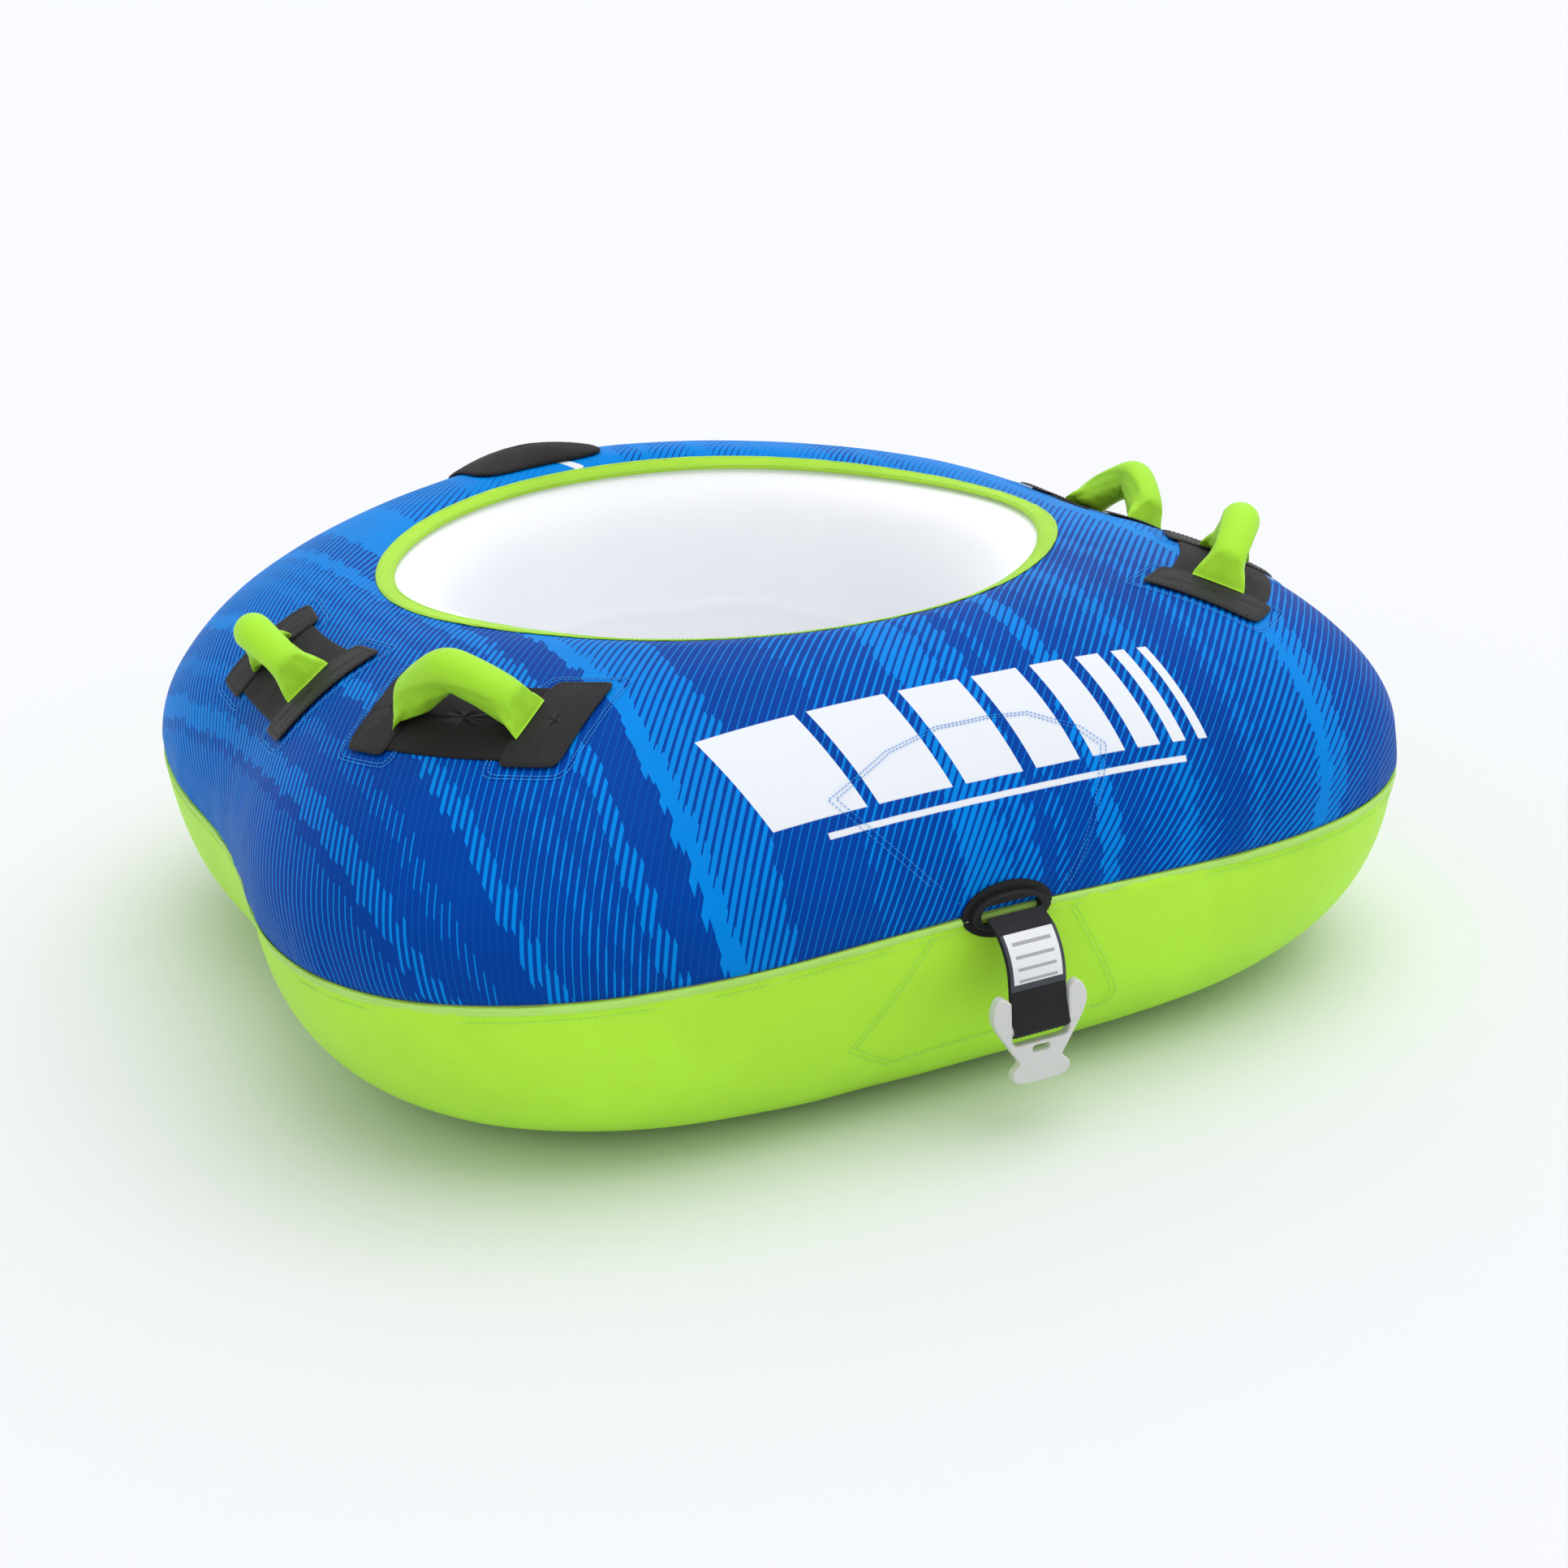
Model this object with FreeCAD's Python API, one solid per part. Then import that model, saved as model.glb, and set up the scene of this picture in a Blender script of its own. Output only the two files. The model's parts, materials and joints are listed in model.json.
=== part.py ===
import FreeCAD, Part
import math
import os

V = FreeCAD.Vector

# Inflated tube in plan: a mean radius and its cosine harmonics round the plan, from the front (-Y)
OUTER_RADIUS = (550.0, -11.0, 12.0, -19.0, -40.0, -4.0, 6.0)   # rounded square with four full corners
OPENING_RADIUS = (319.0, -34.0, 7.0)                           # edge of the top cover round the rider well
INNER_RADIUS = (254.0, -42.0, 31.0)                            # bladder weld line inside the well
TUBE_HEIGHT = (359.0, 1.0, 7.0, -5.0)
SEAM_HEIGHT = (184.0, -21.0, 20.0, -4.0)                       # join of the top and bottom covers

# Tube section: where the equator, crown and foot lie, and how square each quarter is (below 1 is squarer)
EQUATOR_SHARE = 0.56
CROWN_SHARE = 0.33
FOOT_SHARE = 0.43
OUTER_FULLNESS = 1.20
INNER_FULLNESS = 0.60
UNDER_FULLNESS = 0.80
FOOT_EDGE_SHARE = 0.30                  # how far inside the foot the bottom cover ends
FOOT_LIFT = 0.6                         # bottom cover stands this far above the floor panel's underside
ROW_SHIFT_Y = -8.1                      # puts the overall box centre on the frame's origin

# Layers, as offsets from the covers' outer face
COVER_THICKNESS = 1.0
TAPE = (-2.3, -1.3)
HARNESS = (-4.2, -2.6)
BLADDER_OFFSET = -5.0
PAD = (0.6, 2.0)
END_PATCH = (2.4, 3.6)
FLOOR_THICKNESS = 1.2
FLOOR_LAP = 10.0
SEAM_GAP = 0.0006                       # share of the section between the two covers at their seam
SEAM_TAPE_HALF = 0.011
HEM = 0.0123                            # cover hem inside the opening line, under the binding

# Sampling of the tube skin
PLAN_STATIONS = 48
SECTION_STATIONS = 24
SEAM_V, OPENING_V = 1 / 3, 2 / 3        # section position of the two cover edges, from the foot edge

# Handles: plan angle, section position, name
HANDLES = ((51.8, 0.537, "front"), (91.4, 0.536, "rear"))
PAD_LENGTH, PAD_WIDTH = 196.0, 86.0
END_PATCH_LENGTH, END_PATCH_WIDTH = 49.0, 101.0
END_PATCH_REACH = 4.0                   # how far the end patches stick out past the pad
PIVOT_SPAN = 108.0
PIVOT_HEIGHT = 22.0
GRIP_RADIUS = 16.5
GRIP_CLOTH = 1.5
GRIP_GAP = 0.3
ARCH_RISE = 25.0
ARCH_BEND = 22.0
CORE_WIDTH, CORE_THICKNESS = 22.0, 1.6
EAR_BASE, EAR_TOP = (50.0, 9.0), (30.0, 13.0)
EAR_FOOT, EAR_HEAD = -18.0, -12.4       # ear foot and head, below the pivot line
EAR_CLEARANCE = 0.9

# Tow point at the front
COLLAR_SIZE = (80.0, 46.0)
COLLAR_FLANGE = 2.5
COLLAR_RIM = (68.0, 32.0)
COLLAR_RIM_HEIGHT = 9.0
COLLAR_SLOT = (54.0, 18.0)
STRAP_WIDTH = 50.0
STRAP_THICKNESS = 3.4                   # two plies of webbing
STRAP_PIVOT_OUT = 13.0
STRAP_RUN = ((0.0, 0.0), (18.0, -9.0), (31.0, -30.0), (34.0, -74.0))    # out and up from the strap pivot
BAR_LOOP_RADIUS = 7.0
LABEL_SPAN, LABEL_THICKNESS = (0.20, 0.68), 0.8
HOOK_THICKNESS = 9.0
HOOK_BAR_RADIUS = 5.0
HOOK_OUTLINE = ((25.6, 4.0), (27.0, 26.0), (34.0, 30.0), (40.5, 22.0), (40.5, 8.0), (33.0, -6.0),
                (21.0, -25.0), (19.0, -29.0), (25.0, -36.0), (24.0, -43.0), (12.0, -47.0))
HOOK_SLOT = (51.2, 12.0)
HOOK_EYE = (16.0, 6.0)

# Tow reinforcement and harness inside the covers: (plan angle, section position) corners of the left half
UPPER_PANEL = ((5.0, 0.348), (16.0, 0.47), (0.0, 0.50))
LOWER_PANEL = ((7.0, 0.318), (14.0, 0.23), (10.0, 0.20))
HARNESS_RUN = ((3.0, 0.29), (75.0, 0.17))
HARNESS_HALF = 0.024

# Air valve under a hinged cover flap at the rear
VALVE_ANGLE, VALVE_V = -173.0, 0.585
VALVE_PORT_RADIUS = 33.0
VALVE_FLANGE_RADIUS = 31.0
VALVE_BODY_RADIUS = 17.0
VALVE_BORE_RADIUS = 13.0
VALVE_DEPTH = 20.0
SOCKET_TOP = -5.0
SEAT_WIDTH = 5.0
RETAINER = (-4.6, -3.2)
CAP_RADIUS = 20.0
CAP_BASE, CAP_HEIGHT = -2.8, 4.5        # base is an offset from the covers' outer face
PLUG_LENGTH = 9.0
CAP_RIBS = 12
FLAP_LENGTH, FLAP_WIDTH = 150.0, 104.0
FLAP = (1.9, 4.3)
FLAP_DOME = 11.0
STRIP_LENGTH, STRIP_WIDTH = 96.0, 16.0
LOOP_STRIP, HOOK_STRIP = (0.3, 0.9), (1.1, 1.7)


def harmonics(row, theta):
    return sum(value * math.cos(k * theta) for k, value in enumerate(row))


def section_sizes(theta):
    """Outer, inner, equator, height, crown and foot of the tube at one plan angle."""
    outer, inner = harmonics(OUTER_RADIUS, theta), harmonics(INNER_RADIUS, theta)
    height = harmonics(TUBE_HEIGHT, theta)
    crown = inner + CROWN_SHARE * (outer - inner)
    foot = inner + FOOT_SHARE * (outer - inner)
    return outer, inner, EQUATOR_SHARE * height, height, crown, foot


def section_point(theta, phi):
    """Radius and height of the tube skin, phi measured up from the outer equator."""
    outer, inner, equator, height, crown, foot = section_sizes(theta)
    across, up = math.cos(phi), math.sin(phi)
    middle = crown if up >= 0 else foot
    power = UNDER_FULLNESS if up < 0 else (OUTER_FULLNESS if across >= 0 else INNER_FULLNESS)
    reach = (outer - middle) if across >= 0 else (middle - inner)
    rise = (height - equator) if up >= 0 else equator
    return (middle + math.copysign(reach * abs(across) ** power, across),
            equator + math.copysign(rise * abs(up) ** power, up))


def landmark_angles(theta):
    """Section angles of the foot edge, the cover seam and the opening, then the foot edge again."""
    outer, inner, equator, height, crown, _ = section_sizes(theta)
    foot_edge = -math.pi + math.acos(FOOT_EDGE_SHARE ** (1 / UNDER_FULLNESS))
    seam = harmonics(SEAM_HEIGHT, theta) - equator
    if seam >= 0:
        seam_angle = math.asin((seam / (height - equator)) ** (1 / OUTER_FULLNESS))
    else:
        seam_angle = -math.asin((-seam / equator) ** (1 / UNDER_FULLNESS))
    edge = harmonics(OPENING_RADIUS, theta)
    if edge > crown:
        opening = math.acos(((edge - crown) / (outer - crown)) ** (1 / OUTER_FULLNESS))
    else:
        opening = math.acos(-(((crown - edge) / (crown - inner)) ** (1 / INNER_FULLNESS)))
    return foot_edge, seam_angle, opening, foot_edge + 2 * math.pi


def section_stations(theta):
    """Evenly spaced skin points within each of the three stretches between landmarks."""
    per_stretch, fine = SECTION_STATIONS // 3, 80
    marks = landmark_angles(theta)
    stations = []
    for start, end in zip(marks, marks[1:]):
        line = [section_point(theta, start + (end - start) * k / fine) for k in range(fine + 1)]
        run = [0.0]
        for p, q in zip(line, line[1:]):
            run.append(run[-1] + math.dist(p, q))
        k = 0
        for i in range(per_stretch):
            target = run[-1] * i / per_stretch
            while run[k + 1] < target:
                k += 1
            t = (target - run[k]) / (run[k + 1] - run[k])
            stations.append([a + (b - a) * t for a, b in zip(line[k], line[k + 1])])
    return [V(r * math.sin(theta), ROW_SHIFT_Y - r * math.cos(theta), z + FOOT_LIFT) for r, z in stations]


def loop_poles(points):
    """Poles of the closed uniform cubic curve that starts at, and passes through, the points."""
    poles, count = list(points), len(points)
    for _ in range(40):
        poles = [poles[i] + points[i] - (poles[i - 1] + poles[i] * 4 + poles[(i + 1) % count]) * (1 / 6)
                 for i in range(count)]
    return poles[-1:] + poles[:-1]


def skin_surface(grid):
    """Surface closed both ways through a grid of points, one row per plan station."""
    rows = [loop_poles(row) for row in grid]
    columns = [loop_poles(column) for column in zip(*rows)]
    plan, section = len(grid), len(grid[0])
    surface = Part.BSplineSurface()
    surface.buildFromPolesMultsKnots(
        [list(row) for row in zip(*columns)], [1] * (plan + 1), [1] * (section + 1),
        [i / plan for i in range(plan + 1)], [j / section for j in range(section + 1)], True, True, 3, 3)
    return surface


SKIN = skin_surface([section_stations(2 * math.pi * i / PLAN_STATIONS) for i in range(PLAN_STATIONS)])


def normal_at(u, v):
    """Outward unit normal of the covers' outer face."""
    along = SKIN.value((u + 1e-4) % 1, v % 1) - SKIN.value((u - 1e-4) % 1, v % 1)
    across = SKIN.value(u % 1, (v + 1e-4) % 1) - SKIN.value(u % 1, (v - 1e-4) % 1)
    return along.cross(across).normalize()


def skin_point(u, v, offset=0.0):
    return SKIN.value(u % 1, v % 1) + normal_at(u, v) * offset


def skin_offset(offset):
    return skin_surface([[skin_point(i / PLAN_STATIONS, j / SECTION_STATIONS, offset)
                          for j in range(SECTION_STATIONS)] for i in range(PLAN_STATIONS)])


def plan_angle(degrees):
    return degrees / 360


def closed_solid(faces):
    shell = Part.makeShell(faces)
    shell.sewShape()
    return Part.Solid(shell)


def strip(start, end, outer, inner):
    """Cloth strip all round the tube between two section positions."""
    skins = [skin_offset(offset) for offset in (outer, inner)]
    rims = [Part.makeRuledSurface(*[skin.vIso(v).toShape() for skin in skins]) for v in (start, end)]
    return closed_solid([skin.toShape(0, 1, start, end) for skin in skins] + rims)


def ring(profile):
    """Narrow solid all round the tube from a closed profile of (section position, offset) corners."""
    edges = []
    for v, offset in profile:
        curve = Part.BSplineCurve()
        curve.interpolate([skin_point(i / PLAN_STATIONS, v, offset) for i in range(PLAN_STATIONS)], True)
        edges.append(curve.toShape())
    return closed_solid([Part.makeRuledSurface(a, b) for a, b in zip(edges, edges[1:] + edges[:1])])


def slab(corner, low, high, steps=(9, 7), bulge=0.0):
    """Curved slab on the tube; corner(s, t) gives its skin position for s and t from -1 to 1."""
    def skin(offset):
        rows = []
        for i in range(steps[0]):
            s = 2 * i / (steps[0] - 1) - 1
            row = []
            for j in range(steps[1]):
                t = 2 * j / (steps[1] - 1) - 1
                row.append(skin_point(*corner(s, t), offset + bulge * ((1 - s * s) * (1 - t * t)) ** 2))
            rows.append(row)
        surface = Part.BSplineSurface()
        surface.interpolate(rows)
        return surface
    faces = [skin(offset) for offset in (low, high)]
    sides = [Part.makeRuledSurface(*[getattr(face, iso)(end).toShape() for face in faces])
             for iso in ("uIso", "vIso") for end in (0, 1)]
    return closed_solid([face.toShape() for face in faces] + sides)


def on_skin(u, v, along, across):
    """Skin position reached from (u, v) by distances along the plan and up the section."""
    step = (skin_point(u, v + 0.01) - skin_point(u, v - 0.01)).Length / 0.02
    level = v + across / step
    spin = (skin_point(u + 0.002, level) - skin_point(u - 0.002, level)).Length / 0.004
    return u + along / spin, level


def rectangle(u, v, length, width, shift=0.0):
    return lambda s, t: on_skin(u, v, shift + s * length / 2, t * width / 2)


def quad(bottom_left, bottom_right, top_right, top_left):
    """Four-cornered patch given by (plan angle, section position) corners."""
    def corner(s, t):
        a, b = (1 + s) / 2, (1 + t) / 2
        u, v = [(1 - b) * ((1 - a) * p + a * q) + b * ((1 - a) * m + a * n)
                for p, q, n, m in zip(bottom_left, bottom_right, top_right, top_left)]
        return plan_angle(u), v
    return corner


def placed(origin, x_axis, z_axis):
    """Placement of a local frame from its origin, x axis and (nearly square) z axis."""
    z_axis = (z_axis - x_axis * (z_axis.dot(x_axis) / x_axis.dot(x_axis))).normalize()
    return FreeCAD.Placement(origin, FreeCAD.Rotation(x_axis, z_axis.cross(x_axis), z_axis, "ZXY"))


def moved(shape, placement):
    result = shape.copy()
    result.Placement = placement.multiply(result.Placement)
    return result


def mirrored(shape):
    return shape.mirror(V(0, 0, 0), V(1, 0, 0))


# ---- Hull: bladder, covers and floor ----

def bladder():
    body = Part.Solid(Part.Shell([skin_offset(BLADDER_OFFSET).toShape()]))
    pocket = valve_cylinder(VALVE_BODY_RADIUS + 0.05, BLADDER_OFFSET - VALVE_DEPTH, BLADDER_OFFSET + 3)
    return body.cut(pocket)


def top_cover():
    port = valve_cylinder(VALVE_PORT_RADIUS, -8.0, 8.0)
    return strip(SEAM_V + SEAM_GAP, OPENING_V + HEM, 0.0, -COVER_THICKNESS).cut(port)


def bottom_cover():
    return strip(0.0, SEAM_V - SEAM_GAP, 0.0, -COVER_THICKNESS)


def seam_tape():
    low, high = TAPE
    return ring([(SEAM_V - SEAM_TAPE_HALF, low), (SEAM_V - SEAM_TAPE_HALF, high),
                 (SEAM_V + SEAM_TAPE_HALF, high), (SEAM_V + SEAM_TAPE_HALF, low)])


def opening_binding():
    """Folded tape: an outer lap, the fold round the cover edge and an inner lap."""
    lap = [OPENING_V + HEM * k / 4 for k in range(5)]
    slot_end, fold = lap[-1] + 0.0012, lap[-1] + 0.0024
    faces = [(v, 1.35) for v in lap + [fold]] + [(v, -2.35) for v in [fold] + lap[::-1]]
    slot = [(v, -1.35) for v in lap + [slot_end]] + [(v, 0.35) for v in [slot_end] + lap[::-1]]
    return ring(faces + slot)


def floor_panel():
    outline = Part.BSplineCurve()
    points = []
    for i in range(PLAN_STATIONS):
        point = skin_point(i / PLAN_STATIONS, 0.0)
        point.z = 0.0
        middle = V(0, ROW_SHIFT_Y, 0)
        points.append(point + (point - middle).normalize() * FLOOR_LAP)
    outline.interpolate(points, True)
    return Part.Face(Part.Wire(outline.toShape())).extrude(V(0, 0, FLOOR_THICKNESS))


# ---- Tow point: reinforcement, harness, collar, strap and hook ----

def tow_panels():
    (u0, v0), (u1, v1), (_, v2) = UPPER_PANEL
    upper = slab(quad((-u0, v0), (u0, v0), (u1, v1), (-u1, v1)), *TAPE)
    (u0, v0), (u1, v1), (u2, v2) = LOWER_PANEL
    lower = slab(quad((-u2, v2), (u2, v2), (u0, v0), (-u0, v0)), *TAPE)
    return upper, lower


def harness_strap():
    (u0, v0), (u1, v1) = HARNESS_RUN
    return slab(quad((u0, v0 - HARNESS_HALF), (u1, v1 - HARNESS_HALF),
                     (u1, v1 + HARNESS_HALF), (u0, v0 + HARNESS_HALF)), *HARNESS, steps=(15, 5))


def tow_frame(out=0.0):
    """Local frame at the tow point: x to the right, y up the skin, z outward."""
    return placed(skin_point(0.0, SEAM_V, out), V(1, 0, 0), normal_at(0.0, SEAM_V))


def ellipse_disc(size, height):
    ellipse = Part.Ellipse(V(0, 0, 0), size[0] / 2, size[1] / 2)
    return Part.Face(Part.Wire(ellipse.toShape())).extrude(V(0, 0, height))


def slot_box(size, height, base):
    """Round-ended slot solid centred on the local origin."""
    length, width = size
    ends = [Part.makeCylinder(width / 2, height, V(x, 0, base)) for x in
            ((width - length) / 2, (length - width) / 2)]
    return Part.makeBox(length - width, width, height, V((width - length) / 2, -width / 2, base)).fuse(ends)


def tow_collar():
    rim = ellipse_disc(COLLAR_RIM, COLLAR_RIM_HEIGHT)
    collar = ellipse_disc(COLLAR_SIZE, COLLAR_FLANGE).fuse(rim).removeSplitter()
    lips = [edge for edge in collar.Edges if abs(edge.BoundBox.ZMin - COLLAR_RIM_HEIGHT) < 0.01]
    collar = collar.makeFillet(2.0, lips)
    return moved(collar.cut(slot_box(COLLAR_SLOT, 40, -20)), tow_frame(0.4))


def strap_frame():
    return placed(skin_point(0.0, SEAM_V, STRAP_PIVOT_OUT), V(1, 0, 0), V(0, -1, 0))


def strap_wire():
    points = [V(0, up, out) for out, up in STRAP_RUN]
    curve = Part.BSplineCurve()
    curve.interpolate(points)
    return curve


def ribbon(curve, start, end, inner, outer, width):
    """Flat band following a curve in the local y-z plane, between two offsets from it."""
    def edge_line(offset):
        points = []
        for k in range(13):
            t = curve.LastParameter * (start + (end - start) * k / 12)
            tangent = curve.tangent(t)[0]
            side = V(1, 0, 0).cross(tangent)
            points.append(curve.value(t) + side * offset)
        line = Part.BSplineCurve()
        line.interpolate(points)
        return line.toShape()
    near, far = edge_line(inner), edge_line(outer)
    ends = [Part.makeLine(near.Vertexes[i].Point, far.Vertexes[i].Point) for i in (0, 1)]
    face = Part.Face(Part.Wire(Part.__sortEdges__([near, far] + ends)))
    face.translate(V(-width / 2, 0, 0))
    return face.extrude(V(width, 0, 0))


def hook_centre():
    out, up = STRAP_RUN[-1]
    return V(0, up - BAR_LOOP_RADIUS + STRAP_THICKNESS / 4, out)


def tow_strap():
    """Doubled webbing from the collar to the loop round the hook bar."""
    half = STRAP_THICKNESS / 2
    band = ribbon(strap_wire(), 0.0, 1.0, -half, half, STRAP_WIDTH)
    root = Part.makeCylinder(half, STRAP_WIDTH, V(-STRAP_WIDTH / 2, 0, 0), V(1, 0, 0))
    centre = hook_centre() - V(STRAP_WIDTH / 2, 0, 0)
    loop = Part.makeCylinder(BAR_LOOP_RADIUS, STRAP_WIDTH, centre, V(1, 0, 0))
    bore = Part.makeCylinder(BAR_LOOP_RADIUS - STRAP_THICKNESS / 2, STRAP_WIDTH, centre, V(1, 0, 0))
    return moved(band.fuse([root, loop]).cut(bore).removeSplitter(), strap_frame())


def strap_label():
    """Printed sleeve sewn round the strap."""
    half = STRAP_THICKNESS / 2 + 0.1
    sleeve = ribbon(strap_wire(), *LABEL_SPAN, half, half + LABEL_THICKNESS, STRAP_WIDTH - 1.0)
    return moved(sleeve, strap_frame())


def tow_hook():
    """Moulded quick-connect: bar inside the strap loop, shoulders, eye, neck and flared end."""
    points = [V(x, y, 0) for x, y in HOOK_OUTLINE]
    points += [V(-x, y, 0) for x, y in reversed(HOOK_OUTLINE)]
    curve = Part.BSplineCurve()
    curve.interpolate(points)
    top = Part.makeLine(points[-1], points[0])
    plate = Part.Face(Part.Wire([curve.toShape(), top])).extrude(V(0, 0, HOOK_THICKNESS))
    plate.translate(V(0, 0, -HOOK_THICKNESS / 2))
    window = slot_box((HOOK_SLOT[0], HOOK_SLOT[1]), 30, -15)
    window.translate(V(0, -BAR_LOOP_RADIUS, 0))
    head = Part.makeBox(HOOK_SLOT[0], 60, 30, V(-HOOK_SLOT[0] / 2, -HOOK_SLOT[1] / 2, -15))
    eye = slot_box(HOOK_EYE, 30, -15)
    eye.translate(V(0, -19, 0))
    bar = Part.makeCylinder(HOOK_BAR_RADIUS, 70, V(-35, 0, 0), V(1, 0, 0))
    hook = plate.cut(head.fuse(window)).cut(eye).fuse(bar).removeSplitter()
    frame = strap_frame().multiply(FreeCAD.Placement(hook_centre(), FreeCAD.Rotation()))
    return moved(hook, frame)


# ---- Handles ----

def handle_frames(angle, v):
    """Pivot frame of a handle and the frames of its two pinched ends."""
    u = plan_angle(angle)
    ends = [on_skin(u, v, side * PIVOT_SPAN / 2, 0.0) for side in (-1, 1)]
    pivots = [skin_point(*end, PIVOT_HEIGHT) for end in ends]
    along = (pivots[1] - pivots[0]).normalize()
    main = placed((pivots[0] + pivots[1]) * 0.5, along, normal_at(u, v))
    return main, [placed(main.multVec(V(side * PIVOT_SPAN / 2, 0, 0)), along, normal_at(*end))
                  for side, end in zip((-1, 1), ends)]


def arch(make_face):
    """Section carried up one leg, round the bend and down the other leg, in the local x-z plane."""
    half, rise, bend = PIVOT_SPAN / 2, ARCH_RISE, ARCH_BEND
    centre = V(0, 0, rise - bend)
    reach = math.hypot(half, centre.z)
    leg = math.sqrt(reach ** 2 - bend ** 2)
    slope = math.atan2(centre.z, half) + math.asin(bend / reach)
    start, heading = V(-half, 0, 0), V(math.cos(slope), 0, math.sin(slope))
    face = make_face(start, heading)
    first = face.extrude(heading * leg)
    turned = face.copy()
    turned.translate(heading * leg)
    middle = turned.revolve(centre, V(0, 1, 0), math.degrees(2 * slope))
    second = first.mirror(V(0, 0, 0), V(1, 0, 0))
    return first.fuse([middle, second]).removeSplitter()


def disc(radius):
    return lambda start, heading: Part.Face(Part.Wire(Part.makeCircle(radius, start, heading)))


def strip_face(width, thickness):
    def make(start, heading):
        side, up = V(0, width / 2, 0), V(-heading.z, 0, heading.x) * (thickness / 2)
        corners = [start + side + up, start - side + up, start - side - up, start + side - up]
        return Part.Face(Part.makePolygon(corners + corners[:1]))
    return make


def grip_parts(main):
    lining = GRIP_RADIUS - GRIP_CLOTH
    balls = [Part.makeSphere(GRIP_RADIUS, V(x, 0, 0)) for x in (-PIVOT_SPAN / 2, PIVOT_SPAN / 2)]
    sleeve = arch(disc(GRIP_RADIUS)).fuse(balls).cut(arch(disc(lining)))
    slot = arch(strip_face(CORE_WIDTH + 2 * GRIP_GAP, CORE_THICKNESS + 2 * GRIP_GAP))
    foam = arch(disc(lining - GRIP_GAP)).cut(slot)
    core = arch(strip_face(CORE_WIDTH, CORE_THICKNESS))
    return {"sleeve": moved(sleeve, main), "foam": moved(foam, main), "core": moved(core, main)}


def ear(frame):
    """Flattened, stitched end of the sleeve: a low saucer under the ball end of the grip."""
    wires = []
    for (width, depth), height in ((EAR_BASE, EAR_FOOT), (EAR_TOP, EAR_HEAD)):
        corners = [V(x * depth / 2, y * width / 2, height) for x, y in ((1, 1), (-1, 1), (-1, -1), (1, -1))]
        wires.append(Part.makePolygon(corners + corners[:1]))
    solid = Part.makeLoft(wires, True).cut(Part.makeSphere(GRIP_RADIUS + EAR_CLEARANCE))
    return moved(solid, frame)


def handle(angle, v):
    u = plan_angle(angle)
    main, ends = handle_frames(angle, v)
    shift = (PAD_LENGTH - END_PATCH_LENGTH) / 2 + END_PATCH_REACH
    parts = grip_parts(main)
    parts["pad"] = slab(rectangle(u, v, PAD_LENGTH, PAD_WIDTH), *PAD)
    parts["end_patches"] = Part.makeCompound(
        [slab(rectangle(u, v, END_PATCH_LENGTH, END_PATCH_WIDTH, side * shift), *END_PATCH)
         for side in (-1, 1)])
    parts["ears"] = Part.makeCompound([ear(frame) for frame in ends])
    return parts


# ---- Air valve and its flap ----

def valve_frame(offset=0.0):
    u = plan_angle(VALVE_ANGLE)
    along = skin_point(u + 0.001, VALVE_V) - skin_point(u - 0.001, VALVE_V)
    return placed(skin_point(u, VALVE_V, offset), along.normalize(), normal_at(u, VALVE_V))


def valve_cylinder(radius, low, high):
    return moved(Part.makeCylinder(radius, high - low, V(0, 0, low)), valve_frame())


def tube_piece(outer, inner, low, high):
    bore = Part.makeCylinder(inner, high - low, V(0, 0, low))
    return moved(Part.makeCylinder(outer, high - low, V(0, 0, low)).cut(bore), valve_frame())


def valve_parts():
    """Socket welded into the bladder, its flange and flap disc, and the screw cap on its retainer."""
    socket_floor = BLADDER_OFFSET - VALVE_DEPTH + 0.5
    socket = tube_piece(VALVE_BODY_RADIUS, VALVE_BORE_RADIUS, socket_floor, SOCKET_TOP)
    seat = tube_piece(VALVE_BODY_RADIUS, VALVE_BORE_RADIUS - SEAT_WIDTH, socket_floor, socket_floor + 2)
    cap = valve_cylinder(CAP_RADIUS, CAP_BASE, CAP_BASE + CAP_HEIGHT)
    plug = valve_cylinder(VALVE_BORE_RADIUS - 0.4, CAP_BASE - PLUG_LENGTH, CAP_BASE)
    rib = Part.makeCylinder(1.3, CAP_HEIGHT - 1.2, V(CAP_RADIUS, 0, CAP_BASE))
    ribs = []
    for k in range(CAP_RIBS):
        turned = rib.copy()
        turned.rotate(V(0, 0, 0), V(0, 0, 1), 360 * k / CAP_RIBS)
        ribs.append(moved(turned, valve_frame()))
    return {
        "valve_socket": socket.fuse(seat).removeSplitter(),
        "valve_flange": tube_piece(VALVE_FLANGE_RADIUS, VALVE_BODY_RADIUS + 0.4, -4.4, -3.6),
        "valve_disc": valve_cylinder(VALVE_BORE_RADIUS - 0.5, socket_floor + 2.3, socket_floor + 3.5),
        "valve_retainer": tube_piece(VALVE_BODY_RADIUS, VALVE_BORE_RADIUS + 0.2, *RETAINER),
        "valve_cap": cap.fuse([plug] + ribs).removeSplitter(),
    }


def flap_parts():
    u = plan_angle(VALVE_ANGLE)
    edge = (STRIP_WIDTH - FLAP_WIDTH) / 2 + 3.0

    def strip_corner(s, t):
        return on_skin(u, VALVE_V, s * STRIP_LENGTH / 2, edge + t * STRIP_WIDTH / 2)

    return {
        "valve_flap": slab(rectangle(u, VALVE_V, FLAP_LENGTH, FLAP_WIDTH), *FLAP, bulge=FLAP_DOME),
        "flap_hook_strip": slab(strip_corner, *HOOK_STRIP, steps=(9, 4)),
        "flap_loop_strip": slab(strip_corner, *LOOP_STRIP, steps=(9, 4)),
    }


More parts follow.
